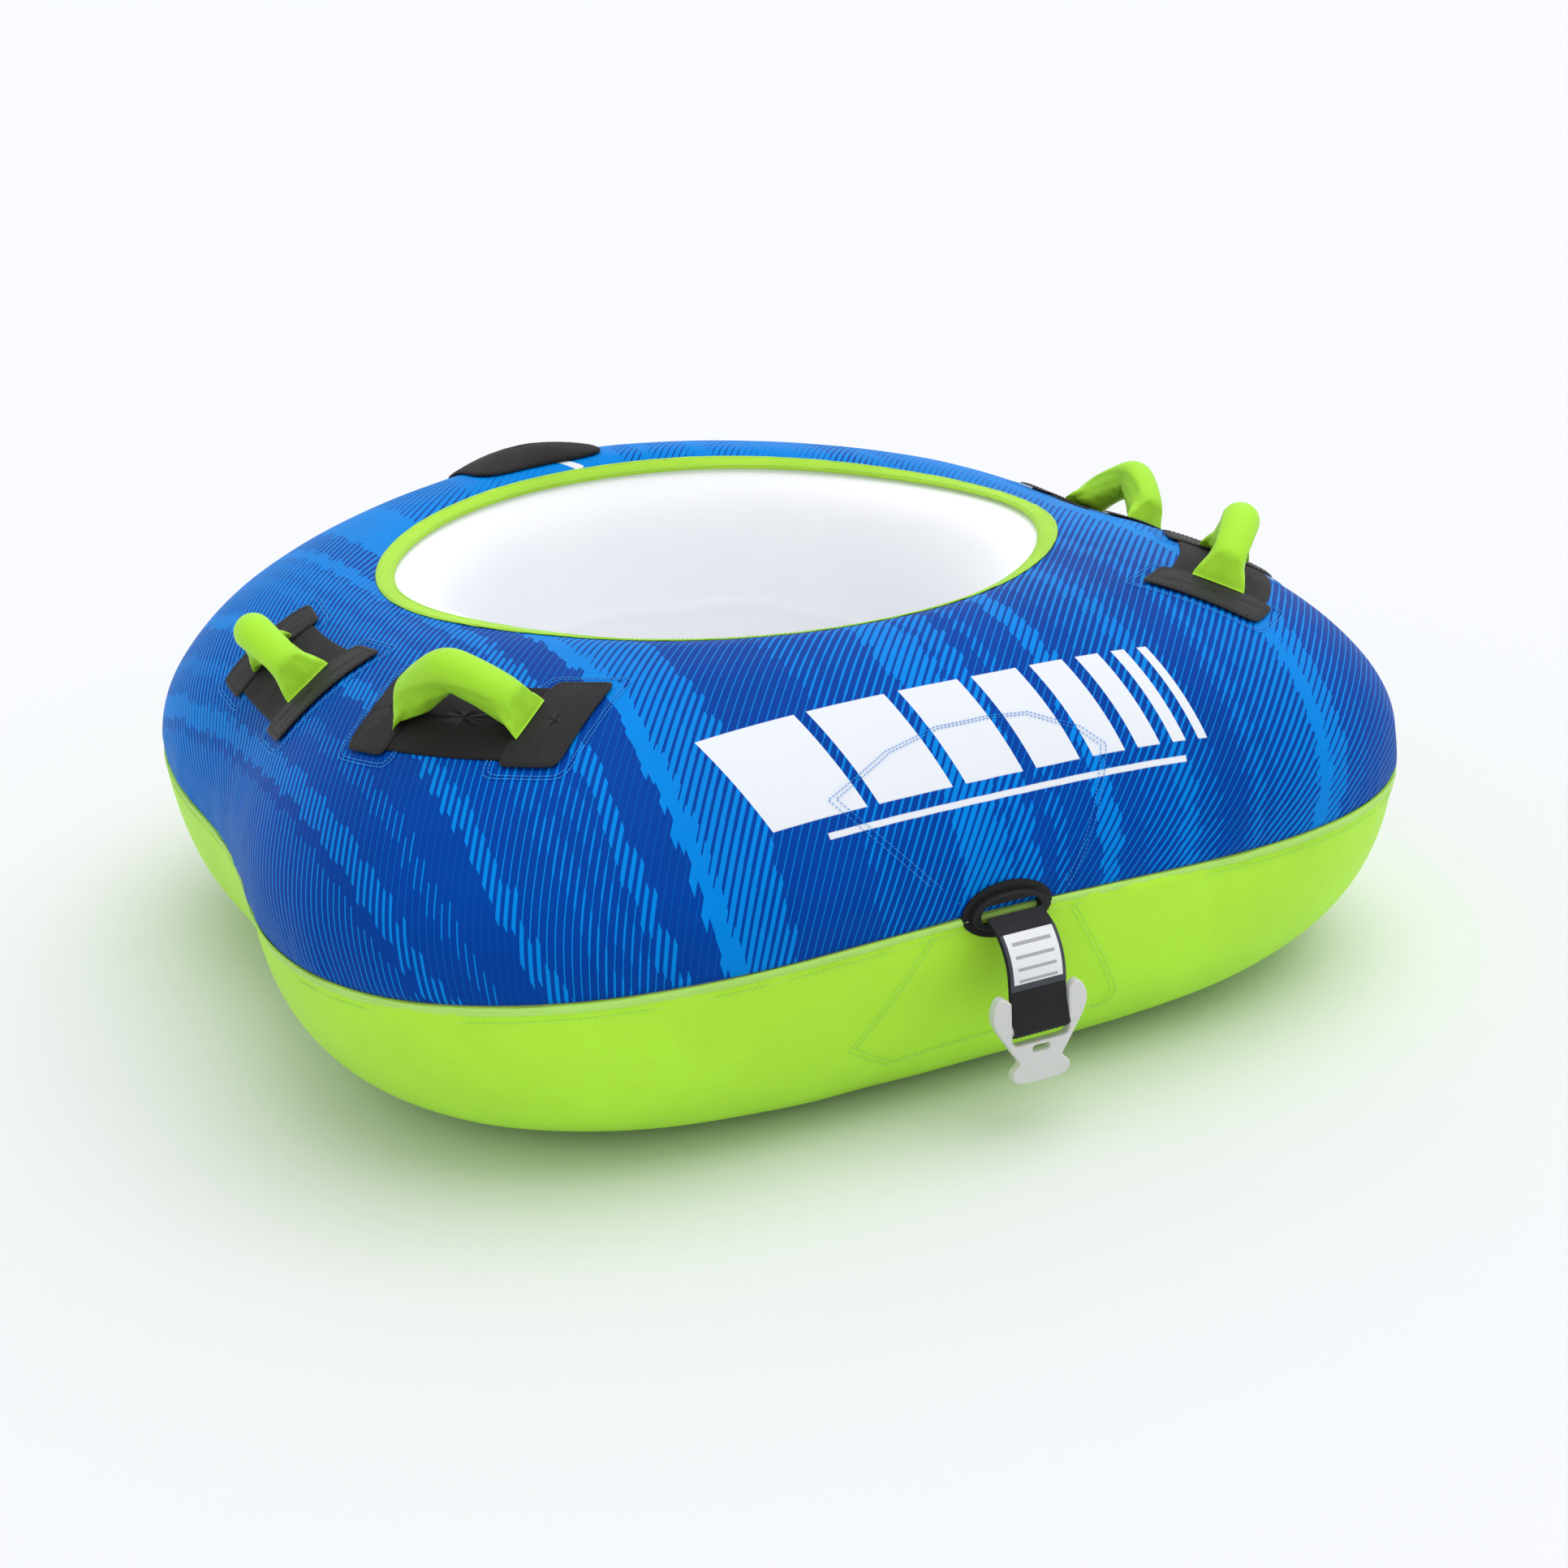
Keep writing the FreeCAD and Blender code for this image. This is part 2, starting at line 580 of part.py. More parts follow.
def main():
    os.makedirs("parts", exist_ok=True)
    upper_panel, lower_panel = tow_panels()
    nodes = {
        "bladder": bladder(), "top_cover": top_cover(), "bottom_cover": bottom_cover(),
        "seam_tape": seam_tape(), "opening_binding": opening_binding(), "floor_panel": floor_panel(),
        "tow_panel_upper": upper_panel, "tow_panel_lower": lower_panel,
        "harness_right": harness_strap(), "harness_left": mirrored(harness_strap()),
        "tow_collar": tow_collar(), "tow_strap": tow_strap(), "strap_label": strap_label(),
        "tow_hook": tow_hook(),
    }
    nodes.update(valve_parts())
    nodes.update(flap_parts())
    for angle, v, row in HANDLES:
        for name, shape in handle(angle, v).items():
            nodes["grip_%s_right_%s" % (row, name)] = shape
            nodes["grip_%s_left_%s" % (row, name)] = mirrored(shape)
    for name, shape in nodes.items():
        shape.exportStep("parts/" + name + ".step")


main()
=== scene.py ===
import json
import math

import bpy
import numpy as np
from mathutils import Matrix, Vector


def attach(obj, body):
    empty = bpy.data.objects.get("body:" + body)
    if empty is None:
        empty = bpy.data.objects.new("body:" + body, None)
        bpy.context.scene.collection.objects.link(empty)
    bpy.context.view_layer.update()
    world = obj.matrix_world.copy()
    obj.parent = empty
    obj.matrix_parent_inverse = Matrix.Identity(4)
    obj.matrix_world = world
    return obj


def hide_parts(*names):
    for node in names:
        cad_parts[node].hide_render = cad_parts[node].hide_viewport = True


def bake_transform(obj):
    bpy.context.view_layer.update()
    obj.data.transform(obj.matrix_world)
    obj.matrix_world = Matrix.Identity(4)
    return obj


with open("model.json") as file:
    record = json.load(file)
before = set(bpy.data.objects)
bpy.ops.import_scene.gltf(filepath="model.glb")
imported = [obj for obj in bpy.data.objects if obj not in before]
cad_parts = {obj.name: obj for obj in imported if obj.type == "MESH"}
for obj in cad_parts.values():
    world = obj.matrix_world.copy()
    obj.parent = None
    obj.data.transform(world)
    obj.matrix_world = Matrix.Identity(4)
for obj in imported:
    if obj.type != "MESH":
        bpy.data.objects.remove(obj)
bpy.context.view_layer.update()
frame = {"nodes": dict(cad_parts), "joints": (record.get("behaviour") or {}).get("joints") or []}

# ---- Bladder ------------------------------------------------------------------
# Ring of white vinyl, pumped tight and welded along the middle of the rider well. It gives the tube its
# shape: every layer outside it follows this one skin, where u runs once round the plan from the front
# and v runs up the section from the floor edge, over the side seam and the crown, into the well.

OUTER_RADIUS = (550.0, -11.0, 12.0, -19.0, -40.0, -4.0, 6.0)
OPENING_RADIUS = (319.0, -34.0, 7.0)
INNER_RADIUS = (254.0, -42.0, 31.0)
TUBE_HEIGHT = (359.0, 1.0, 7.0, -5.0)
SEAM_HEIGHT = (184.0, -21.0, 20.0, -4.0)
EQUATOR_SHARE, CROWN_SHARE, FOOT_SHARE = 0.56, 0.33, 0.43
OUTER_FULLNESS, INNER_FULLNESS, UNDER_FULLNESS = 1.20, 0.60, 0.80
FOOT_EDGE_SHARE = 0.30
FOOT_LIFT, SHIFT_Y = 0.6, -8.1
PLAN_STATIONS, SECTION_STATIONS = 48, 24
SEAM_V, OPENING_V = 1 / 3, 2 / 3


def harmonics(row, theta):
    return sum(value * math.cos(k * theta) for k, value in enumerate(row))


def section_line(theta, angles):
    """Radius and height of the skin, in mm, at section angles measured up from the outer equator."""
    outer, inner = harmonics(OUTER_RADIUS, theta), harmonics(INNER_RADIUS, theta)
    height = harmonics(TUBE_HEIGHT, theta)
    across, up = np.cos(angles), np.sin(angles)
    middle = inner + np.where(up >= 0, CROWN_SHARE, FOOT_SHARE) * (outer - inner)
    power = np.where(up < 0, UNDER_FULLNESS, np.where(across >= 0, OUTER_FULLNESS, INNER_FULLNESS))
    reach = np.where(across >= 0, outer - middle, middle - inner)
    equator = EQUATOR_SHARE * height
    rise = np.where(up >= 0, height - equator, equator)
    return (middle + np.sign(across) * reach * np.abs(across) ** power,
            equator + np.sign(up) * rise * np.abs(up) ** power)


def landmark_angles(theta):
    """Section angles of the floor edge, the side seam, the opening, and the floor edge again."""
    outer, inner = harmonics(OUTER_RADIUS, theta), harmonics(INNER_RADIUS, theta)
    height, crown = harmonics(TUBE_HEIGHT, theta), inner + CROWN_SHARE * (outer - inner)
    equator = EQUATOR_SHARE * height
    floor_edge = -math.pi + math.acos(FOOT_EDGE_SHARE ** (1 / UNDER_FULLNESS))
    seam = harmonics(SEAM_HEIGHT, theta) - equator
    reach, power = (height - equator, OUTER_FULLNESS) if seam >= 0 else (equator, UNDER_FULLNESS)
    seam_angle = math.copysign(math.asin((abs(seam) / reach) ** (1 / power)), seam)
    edge = harmonics(OPENING_RADIUS, theta)
    if edge > crown:
        opening = math.acos(((edge - crown) / (outer - crown)) ** (1 / OUTER_FULLNESS))
    else:
        opening = math.acos(-(((crown - edge) / (crown - inner)) ** (1 / INNER_FULLNESS)))
    return floor_edge, seam_angle, opening, floor_edge + 2 * math.pi


def skin_poles():
    """Poles of the closed cubic surface through even stations of the plan and section."""
    rows = []
    for i in range(PLAN_STATIONS):
        theta = 2 * math.pi * i / PLAN_STATIONS
        row, marks = [], landmark_angles(theta)
        for start, end in zip(marks, marks[1:]):
            r, z = section_line(theta, np.linspace(start, end, 81))
            run = np.concatenate([[0.0], np.cumsum(np.hypot(np.diff(r), np.diff(z)))])
            even = np.linspace(0, run[-1], SECTION_STATIONS // 3 + 1)[:-1]
            row += list(zip(np.interp(even, run, r), np.interp(even, run, z)))
        row = np.array(row)
        rows.append(np.stack([row[:, 0] * math.sin(theta), SHIFT_Y - row[:, 0] * math.cos(theta),
                              row[:, 1] + FOOT_LIFT], -1))
    poles = np.array(rows) / 1000
    for axis in (0, 1):
        turn = 2 * math.pi * np.arange(poles.shape[axis]) / poles.shape[axis]
        share = ((4 + 2 * np.cos(turn)) / 6).reshape([-1 if k == axis else 1 for k in range(3)])
        poles = np.fft.ifft(np.fft.fft(poles, axis=axis) / share, axis=axis).real
    return poles


POLES = skin_poles()


def cubic_weights(t, slope=False):
    if slope:
        return np.stack([-(1 - t) ** 2 / 2, (3 * t * t - 4 * t) / 2, (-3 * t * t + 2 * t + 1) / 2, t * t / 2])
    return np.stack([(1 - t) ** 3, 3 * t ** 3 - 6 * t * t + 4,
                     -3 * t ** 3 + 3 * t * t + 3 * t + 1, t ** 3]) / 6


def skin_sum(u, v, slope_u=False, slope_v=False):
    i, j = np.floor(u * PLAN_STATIONS).astype(int), np.floor(v * SECTION_STATIONS).astype(int)
    wu = cubic_weights(u * PLAN_STATIONS - i, slope_u)
    wv = cubic_weights(v * SECTION_STATIONS - j, slope_v)
    total = 0
    for a in range(4):
        for b in range(4):
            pole = POLES[(i + a - 1) % PLAN_STATIONS, (j + b - 1) % SECTION_STATIONS]
            total = total + pole * (wu[a] * wv[b])[..., None]
    return total


def skin_normal(u, v):
    n = np.cross(skin_sum(u, v, slope_u=True), skin_sum(u, v, slope_v=True))
    return n / np.linalg.norm(n, axis=-1, keepdims=True)


def skin(u, v, offset=0.0):
    """Points at an offset in metres from the skin; u, v and offset broadcast."""
    u, v, offset = np.broadcast_arrays(np.asarray(u, float), np.asarray(v, float), np.asarray(offset, float))
    return skin_sum(u, v) + skin_normal(u, v) * offset[..., None]


def on_skin(u, v, along, across):
    """Skin position reached from (u, v) by metres along the plan and up the section."""
    along, across = np.broadcast_arrays(np.asarray(along, float), np.asarray(across, float))
    step = float(np.linalg.norm(skin(u, v + 0.01) - skin(u, v - 0.01))) / 0.02
    level = v + across / step
    spin = np.linalg.norm(skin(u + 0.002, level) - skin(u - 0.002, level), axis=-1) / 0.004
    return u + along / spin, level


def mesh_object(name, points, faces, body, material):
    mesh = bpy.data.meshes.new(name)
    mesh.from_pydata([tuple(p) for p in np.asarray(points, float).reshape(-1, 3)], [], faces)
    mesh.validate()
    mesh.polygons.foreach_set("use_smooth", [True] * len(mesh.polygons))
    mesh.materials.append(material)
    obj = bpy.data.objects.new(name, mesh)
    bpy.context.collection.objects.link(obj)
    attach(obj, body)
    return obj


def grid_faces(rows, columns, close_rows=False, close_columns=False):
    """Quads over a grid of points; a closed direction joins its last line to its first."""
    return [(i * columns + j, ((i + 1) % rows) * columns + j,
             ((i + 1) % rows) * columns + (j + 1) % columns, i * columns + (j + 1) % columns)
            for i in range(rows if close_rows else rows - 1)
            for j in range(columns if close_columns else columns - 1)]


def ripple(count, size, seed):
    """Smooth closed random line of `size` samples with `count` swings."""
    knots = np.random.default_rng(seed).uniform(-1, 1, count)
    t = np.arange(size) * count / size
    i = t.astype(int)
    weights = cubic_weights(t - i)
    return sum(knots[(i + k - 1) % count] * weights[k] for k in range(4)) * 1.6


def ripples(rows, columns, row_count, column_count, seed):
    """Smooth random field, closed along its rows."""
    knots = np.random.default_rng(seed).uniform(-1, 1, (row_count, column_count + 3))
    t, s = np.arange(rows) * row_count / rows, np.linspace(0, column_count - 1e-6, columns)
    i, j = t.astype(int), s.astype(int)
    wi, wj = cubic_weights(t - i), cubic_weights(s - j)
    return sum(knots[np.ix_((i + a - 1) % row_count, j + b)] * np.outer(wi[a], wj[b])
               for a in range(4) for b in range(4)) * 2.2


class Finish:
    """A material under construction: nodes are added and linked by short calls."""

    def __init__(self, name, colour=(0.5, 0.5, 0.5), rough=0.6, **sockets):
        self.material = bpy.data.materials.new(name)
        self.material.use_nodes = True
        self.nodes, self.links = self.material.node_tree.nodes, self.material.node_tree.links
        self.shader = self.nodes["Principled BSDF"]
        self.shader.inputs["Base Color"].default_value = (*colour, 1)
        self.shader.inputs["Roughness"].default_value = rough
        for socket, value in sockets.items():
            self.shader.inputs[socket.replace("_", " ")].default_value = value

    def node(self, kind, inputs=None, **settings):
        node = self.nodes.new(kind)
        for key, value in settings.items():
            setattr(node, key, value)
        for key, value in (inputs or {}).items():
            self.feed(value, node.inputs[key])
        return node

    def feed(self, value, socket):
        if hasattr(value, "outputs"):
            value = value.outputs[0]
        if isinstance(value, bpy.types.NodeSocket):
            self.links.new(value, socket)
        else:
            socket.default_value = value

    def math(self, operation, *values, clamp=False):
        node = self.node("ShaderNodeMath", operation=operation, use_clamp=clamp)
        for value, socket in zip(values, node.inputs):
            self.feed(value, socket)
        return node.outputs[0]

    def mix(self, factor, a, b):
        node = self.node("ShaderNodeMix", data_type="RGBA")
        for value, key in ((factor, 0), (a, 6), (b, 7)):
            if isinstance(value, tuple):
                value = (*value, 1)
            self.feed(value, node.inputs[key])
        return node.outputs[2]

    def ramp(self, value, low, high):
        node = self.node("ShaderNodeMapRange", {0: value, 1: low, 2: high}, interpolation_type="SMOOTHSTEP")
        return node.outputs[0]

    def coordinates(self):
        return self.node("ShaderNodeTexCoord").outputs["Object"]

    def noise(self, scale, detail=3.0, rough=0.55):
        return self.node("ShaderNodeTexNoise", {"Vector": self.coordinates(), "Scale": scale,
                                                "Detail": detail, "Roughness": rough}).outputs[0]

    def colour(self, value):
        self.feed(value, self.shader.inputs["Base Color"])

    def rough(self, value):
        self.feed(value, self.shader.inputs["Roughness"])

    def bump(self, height, distance, strength=1.0):
        """Stacks a bump on those already made."""
        node = self.node("ShaderNodeBump", {"Height": height, "Distance": distance, "Strength": strength})
        normal = self.shader.inputs["Normal"]
        if normal.links:
            self.feed(normal.links[0].from_socket, node.inputs["Normal"])
        self.feed(node, normal)

    def weave(self, pitch, distance):
        """Plain weave: over-and-under threads in three directions of the object."""
        waves = []
        for axis in "XYZ":
            inputs = {"Vector": self.coordinates(), "Scale": 1 / pitch / 3.18}
            wave = self.node("ShaderNodeTexWave", inputs, wave_type="BANDS", bands_direction=axis,
                             wave_profile="SIN")
            waves.append(wave.outputs["Fac"])
        total = self.math("ADD", self.math("MULTIPLY", waves[0], waves[1]), waves[2])
        self.bump(total, distance, 0.5)
        return total


# Painted light: the vinyl glows faintly white (emission strength 0.12), brightening the rider well and the
# valve flange beyond what the lamps give.
vinyl = Finish("white_vinyl_painted_glow", (0.86, 0.87, 0.91), 0.34, Coat_Weight=0.2, Coat_Roughness=0.3,
               Emission_Color=(0.95, 0.96, 1.0, 1), Emission_Strength=0.12)
vinyl.colour(vinyl.mix(vinyl.ramp(vinyl.noise(3.0), 0.35, 0.65), (0.88, 0.885, 0.92), (0.92, 0.925, 0.945)))
vinyl.rough(vinyl.math("MULTIPLY_ADD", vinyl.noise(60.0), 0.2, 0.26))
vinyl.bump(vinyl.noise(260.0, detail=2.0), 0.0002, 0.25)


def weld_line(theta):
    """Section position of the inner equator, where the two halves are welded."""
    marks = landmark_angles(theta)
    r, z = section_line(theta, np.linspace(marks[2], marks[3], 400))
    run = np.concatenate([[0.0], np.cumsum(np.hypot(np.diff(r), np.diff(z)))])
    return OPENING_V + (1 - OPENING_V) * run[int(np.argmin(r))] / run[-1]


WALL_COLUMNS, WALL_ROWS = 480, 200
u, v = np.meshgrid(np.arange(WALL_COLUMNS) / WALL_COLUMNS, np.arange(WALL_ROWS) / WALL_ROWS, indexing="ij")
weld = np.array([weld_line(2 * math.pi * k / PLAN_STATIONS) for k in range(PLAN_STATIONS)])
weld = np.interp(np.arange(WALL_COLUMNS) / WALL_COLUMNS, np.arange(PLAN_STATIONS + 1) / PLAN_STATIONS,
                 np.append(weld, weld[0]))
bead = 0.0014 * np.exp(-((v - weld[:, None]) / 0.0028) ** 2)
slack = 0.0007 * ripples(WALL_COLUMNS, WALL_ROWS, 26, 12, 3)
bare = np.clip((v - OPENING_V) * 20, 0, 1) * np.clip((1 - v) * 20, 0, 1)
bladder = mesh_object("bladder_wall", skin(u, v, -0.005 + (bead + slack) * bare),
                      grid_faces(WALL_COLUMNS, WALL_ROWS, True, True), "hull", vinyl.material)
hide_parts("bladder")

# ---- Covers -------------------------------------------------------------------
# Two panels of coated nylon sewn together at the side seam: a lime lower panel, and a top panel printed
# with straight bands of a slanting line screen that fades to a solid colour at the back. The stitching
# gathers the cloth in fine puckers along the seam.

COVER_T, HEM = 0.001, 0.0123
COLUMNS = 1056
LIME = (0.47, 0.88, 0.045)
AZURE, DEEP = (0.0, 0.235, 0.74), (0.0, 0.050, 0.33)
VALVE_U, VALVE_V, PORT_R = 187 / 360, 0.585, 0.033


def cloth(name, colour, rough=0.5, pitch=0.0009, spread=0.06, sheen=0.03, gloss=0.16):
    finish = Finish(name, colour, rough, Sheen_Weight=sheen, Sheen_Roughness=0.5, Specular_IOR_Level=gloss)
    dark = tuple(c * (1 - spread) for c in colour)
    light = tuple(min(1.0, c * (1 + spread)) for c in colour)
    finish.colour(finish.mix(finish.ramp(finish.noise(7.0, detail=4.0), 0.3, 0.7), dark, light))
    finish.rough(finish.math("MULTIPLY_ADD", finish.noise(40.0), 0.16, rough - 0.08))
    finish.weave(pitch, 0.00012)
    return finish


def open_edges(faces):
    edges = {(a, b) for face in faces for a, b in zip(face, face[1:] + face[:1])}
    return sorted((a, b) for a, b in edges if (b, a) not in edges)


def cover(name, low, high, rows, offset, material):
    """Thin closed shell of cloth all round the tube between two section positions, open at the valve."""
    u, v = np.meshgrid(np.arange(COLUMNS) / COLUMNS, np.linspace(low, high, rows), indexing="ij")
    outer, inner = skin(u, v, offset), skin(u, v, offset - COVER_T)
    count = COLUMNS * rows
    port = np.linalg.norm(outer - skin(VALVE_U, VALVE_V), axis=-1).ravel() < PORT_R
    faces = [f for f in grid_faces(COLUMNS, rows, close_rows=True) if not port[list(f)].any()]
    back = [tuple(count + i for i in f[::-1]) for f in faces]
    sides = [(b, a, count + a, count + b) for a, b in open_edges(faces)]
    faces = np.array(faces + back + sides)
    used, faces = np.unique(faces, return_inverse=True)
    points = np.concatenate([outer.reshape(-1, 3), inner.reshape(-1, 3)])[used]
    obj = mesh_object(name, points, faces.reshape(-1, 4).tolist(), "hull", material)
    return obj, np.tile(u.ravel(), 2)[used], np.tile(v.ravel(), 2)[used]


def puckers(rows, low, high, seed):
    """Gathers, proud of the skin, that die out within a few centimetres of the side seam."""
    away = np.abs(np.linspace(low, high, rows) - SEAM_V)
    fine = np.clip(ripple(330, COLUMNS, seed) + 0.2, 0, 2)
    wide = np.clip(ripple(130, COLUMNS, seed + 1) + 0.2, 0, 2)
    return (0.0016 * fine[:, None] * (np.exp(-away / 0.011) - np.exp(-away / 0.002))
            + 0.0030 * wide[:, None] * (np.exp(-away / 0.030) - np.exp(-away / 0.004)))


def flat_map(obj, u, v):
    """UV map in metres of the top panel laid flat: right of centre, and back from centre."""
    arc_u, arc_v = np.meshgrid(np.arange(97) / 96, np.linspace(SEAM_V, OPENING_V + HEM, 161), indexing="ij")
    line = skin(arc_u, arc_v)
    run = np.cumsum(np.linalg.norm(np.diff(line, axis=1, prepend=line[:, :1]), axis=-1), axis=1)
    edge_run = np.array([np.interp(OPENING_V, arc_v[0], row) for row in run])
    edge = np.array([skin(k / 96, OPENING_V) for k in range(97)])
    radius = np.hypot(edge[:, 0], edge[:, 1] - SHIFT_Y / 1000)[:, None] + edge_run[:, None] - run
    i = np.clip((u * 96).astype(int), 0, 95)
    j = np.clip(((v - SEAM_V) / (arc_v[0, 1] - SEAM_V)).astype(int), 0, 159)
    a, b = u * 96 - i, (v - arc_v[0, j]) / (arc_v[0, 1] - arc_v[0, 0])
    flat = ((1 - a) * ((1 - b) * radius[i, j] + b * radius[i, j + 1])
            + a * ((1 - b) * radius[i + 1, j] + b * radius[i + 1, j + 1]))
    theta = 2 * math.pi * u
    x, y = flat * np.sin(theta), -flat * np.cos(theta)
    bow = np.where(y > -0.3, 0.11, 0.36) * (y + 0.3) ** 2
    for name, first, second in (("flat", x, y), ("bands", x - np.tanh(x / 0.2) * bow, y)):
        layer = obj.data.uv_layers.new(name=name)
        vertex = np.empty(len(obj.data.loops), int)
        obj.data.loops.foreach_get("vertex_index", vertex)
        layer.data.foreach_set("uv", np.stack([first[vertex], second[vertex]], -1).ravel())


lime_cloth = cloth("lime_nylon", LIME, 0.46).material
print_finish = cloth("print_nylon", DEEP, 0.48, sheen=0.0, gloss=0.04)
TOP_ROWS, BOTTOM_ROWS = 96, 84
top_offset = puckers(TOP_ROWS, SEAM_V, OPENING_V, 11) + 0.0005 * ripples(COLUMNS, TOP_ROWS, 46, 5, 5) ** 2
bottom_offset = puckers(BOTTOM_ROWS, 0.0, SEAM_V, 21) + 0.0007 * ripples(COLUMNS, BOTTOM_ROWS, 40, 6, 7) ** 2
bottom_offset *= np.clip(np.linspace(0, 1, BOTTOM_ROWS) * 4 - 0.6, 0, 1)[None]
top_offset *= np.clip((1 - np.linspace(0, 1, TOP_ROWS)) * 14 - 0.8, 0, 1)[None]
top_cover, top_u, top_v = cover("top_panel", SEAM_V + 0.0006, OPENING_V + HEM, TOP_ROWS, top_offset,
                                print_finish.material)
flat_map(top_cover, top_u, top_v)
bottom_cover, _, _ = cover("bottom_panel", 0.0, SEAM_V - 0.0006, BOTTOM_ROWS, bottom_offset, lime_cloth)
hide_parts("top_cover")
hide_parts("bottom_cover")

# Print of the top panel: share of light ink in each straight band, as (left edge in mm, share)
LEFT_BANDS = ((-510, 0.0), (-500, 0.4), (-480, 0.05), (-455, 0.2), (-440, 0.02), (-407, 0.5), (-390, 0.16),
              (-357, 0.28), (-340, 0.14), (-330, 0.26), (-315, 0.14), (-307, 0.5), (-290, 0.04), (-258, 1.0),
              (-242, 0.6), (-215, 0.52), (-190, 0.13), (-115, 0.3), (-92, 0.22), (-80, 0.3), (-37, 0.65),
              (-15, 0.6), (5, 0.3))
RIGHT_BANDS = ((0, 0.6), (4, 0.3), (10, 0.5), (30, 0.1), (43, 0.35), (54, 0.15), (85, 0.65), (105, 0.18),
               (128, 0.3), (145, 0.35), (163, 0.55), (180, 0.3), (200, 0.15), (230, 0.3), (239, 0.45),
               (250, 0.3), (264, 0.42), (288, 0.5), (318, 1.0), (336, 0.68), (360, 0.3), (395, 0.2))
GRAPHIC_BARS = (84, 68, 54, 42, 31, 22, 14, 8)
GRAPHIC_LEFT, GRAPHIC_GAP, GRAPHIC_LEAN = -0.205, 12, 0.25
SCREEN_PITCH, SCREEN_SLANT = 0.0066, (0.79, 0.62)


def steps(finish, value, low, high, stops):
    """Ramp of constant steps over a range of lengths in metres."""
    spread = finish.node("ShaderNodeMapRange", {0: value, 1: low, 2: high})
    node = finish.node("ShaderNodeValToRGB", {0: spread})
    node.color_ramp.interpolation = "CONSTANT"
    for k, (place, level) in enumerate(stops):
        where = (place - low) / (high - low)
        stop = node.color_ramp.elements[0] if k == 0 else node.color_ramp.elements.new(where)
        stop.position, stop.color = where, (level, level, level, 1)
    node.color_ramp.elements.remove(node.color_ramp.elements[-1])
    return node.outputs[0]


def within(finish, value, low, high, soft=0.0006):
    """1 inside a range, with soft ends."""
    return finish.math("MULTIPLY", finish.ramp(value, low - soft, low + soft),
                       finish.math("SUBTRACT", 1.0, finish.ramp(value, high - soft, high + soft)))


def map_axes(finish, name):
    source = finish.node("ShaderNodeUVMap", uv_map=name)
    split = finish.node("ShaderNodeSeparateXYZ", {0: source})
    return split.outputs[0], split.outputs[1]


p = print_finish
flat_x, flat_y = map_axes(p, "flat")
band_x, _ = map_axes(p, "bands")
screen_run = p.math("SUBTRACT", p.math("MULTIPLY", flat_y, SCREEN_SLANT[1]),
                    p.math("MULTIPLY", flat_x, SCREEN_SLANT[0]))
screen = p.math("DIVIDE", screen_run, SCREEN_PITCH)
line = p.node("ShaderNodeTexWhiteNoise", {"W": p.math("FLOOR", screen)}, noise_dimensions="1D").outputs[0]
ragged_x = p.math("ADD", band_x, p.math("MULTIPLY_ADD", line, 0.009, -0.0045))
left = steps(p, ragged_x, -0.515, 0.01, [(-0.515, 0.2)] + [(x / 1000, share) for x, share in LEFT_BANDS])
right = steps(p, ragged_x, 0.0, 0.55, [(x / 1000, share) for x, share in RIGHT_BANDS])
share = p.node("ShaderNodeMix", {0: p.math("GREATER_THAN", ragged_x, 0.0), 2: left, 3: right}).outputs[0]
fade = p.math("POWER", p.math("DIVIDE", p.math("ADD", flat_y, 0.47), 0.82, clamp=True), 1.8)
share = p.math("ADD", share, p.math("MULTIPLY", fade, 0.62), clamp=True)
ridge = p.math("ABSOLUTE", p.math("SUBTRACT", p.math("MULTIPLY", p.math("FRACT", screen), 2.0), 1.0))
ink = p.ramp(p.math("SUBTRACT", p.math("MULTIPLY_ADD", share, 1.06, -0.03), ridge), -0.09, 0.09)
worn = p.ramp(p.noise(5.0, detail=5.0), 0.3, 0.72)
azure = p.mix(worn, tuple(c * 0.93 for c in AZURE), tuple(c * 1.05 for c in AZURE))
deep = p.mix(worn, tuple(c * 0.90 for c in DEEP), tuple(c * 1.08 for c in DEEP))
colour = p.mix(ink, deep, azure)

slant_x = p.math("ADD", flat_x, p.math("MULTIPLY", p.math("ADD", flat_y, 0.45), GRAPHIC_LEAN))
bars, place = [], 0
for width in GRAPHIC_BARS:
    bars += [(place / 1000, 1.0), ((place + width) / 1000, 0.0)]
    place += width + GRAPHIC_GAP
stripe = steps(p, p.math("ADD", slant_x, -GRAPHIC_LEFT), -0.01, 0.45, [(-0.01, 0.0)] + bars)
stripe = p.math("MULTIPLY", stripe, within(p, flat_y, -0.495, -0.405))
pin = p.math("MULTIPLY", within(p, flat_y, -0.512, -0.507), within(p, flat_x, -0.15, 0.19))
tick_along = p.math("ADD", p.math("MULTIPLY", flat_x, 0.717), p.math("MULTIPLY", flat_y, -0.697))
tick_across = p.math("ADD", p.math("MULTIPLY", flat_x, 0.697), p.math("MULTIPLY", flat_y, 0.717))
tick = p.math("MULTIPLY", within(p, tick_across, 0.2485, 0.2575), within(p, tick_along, -0.30, -0.256))
marks = p.math("MAXIMUM", p.math("MAXIMUM", stripe, pin), tick)
p.colour(p.mix(marks, colour, (0.80, 0.83, 0.88)))

# ---- Side seam ----------------------------------------------------------------
# The two panels are joined by a folded edge of the lime cloth, sewn down with two rows of white-green
# polyester thread, with a liner tape behind the join.

# Painted highlight: the fold's cloth is a paler lime than the panel, standing for the light caught along the
# folded seam edge.
seam_fold_highlight = cloth("seam_fold", (0.47, 0.80, 0.16), 0.5).material
thread_lime = cloth("lime_thread", (0.50, 0.83, 0.20), 0.55, pitch=0.0005).material


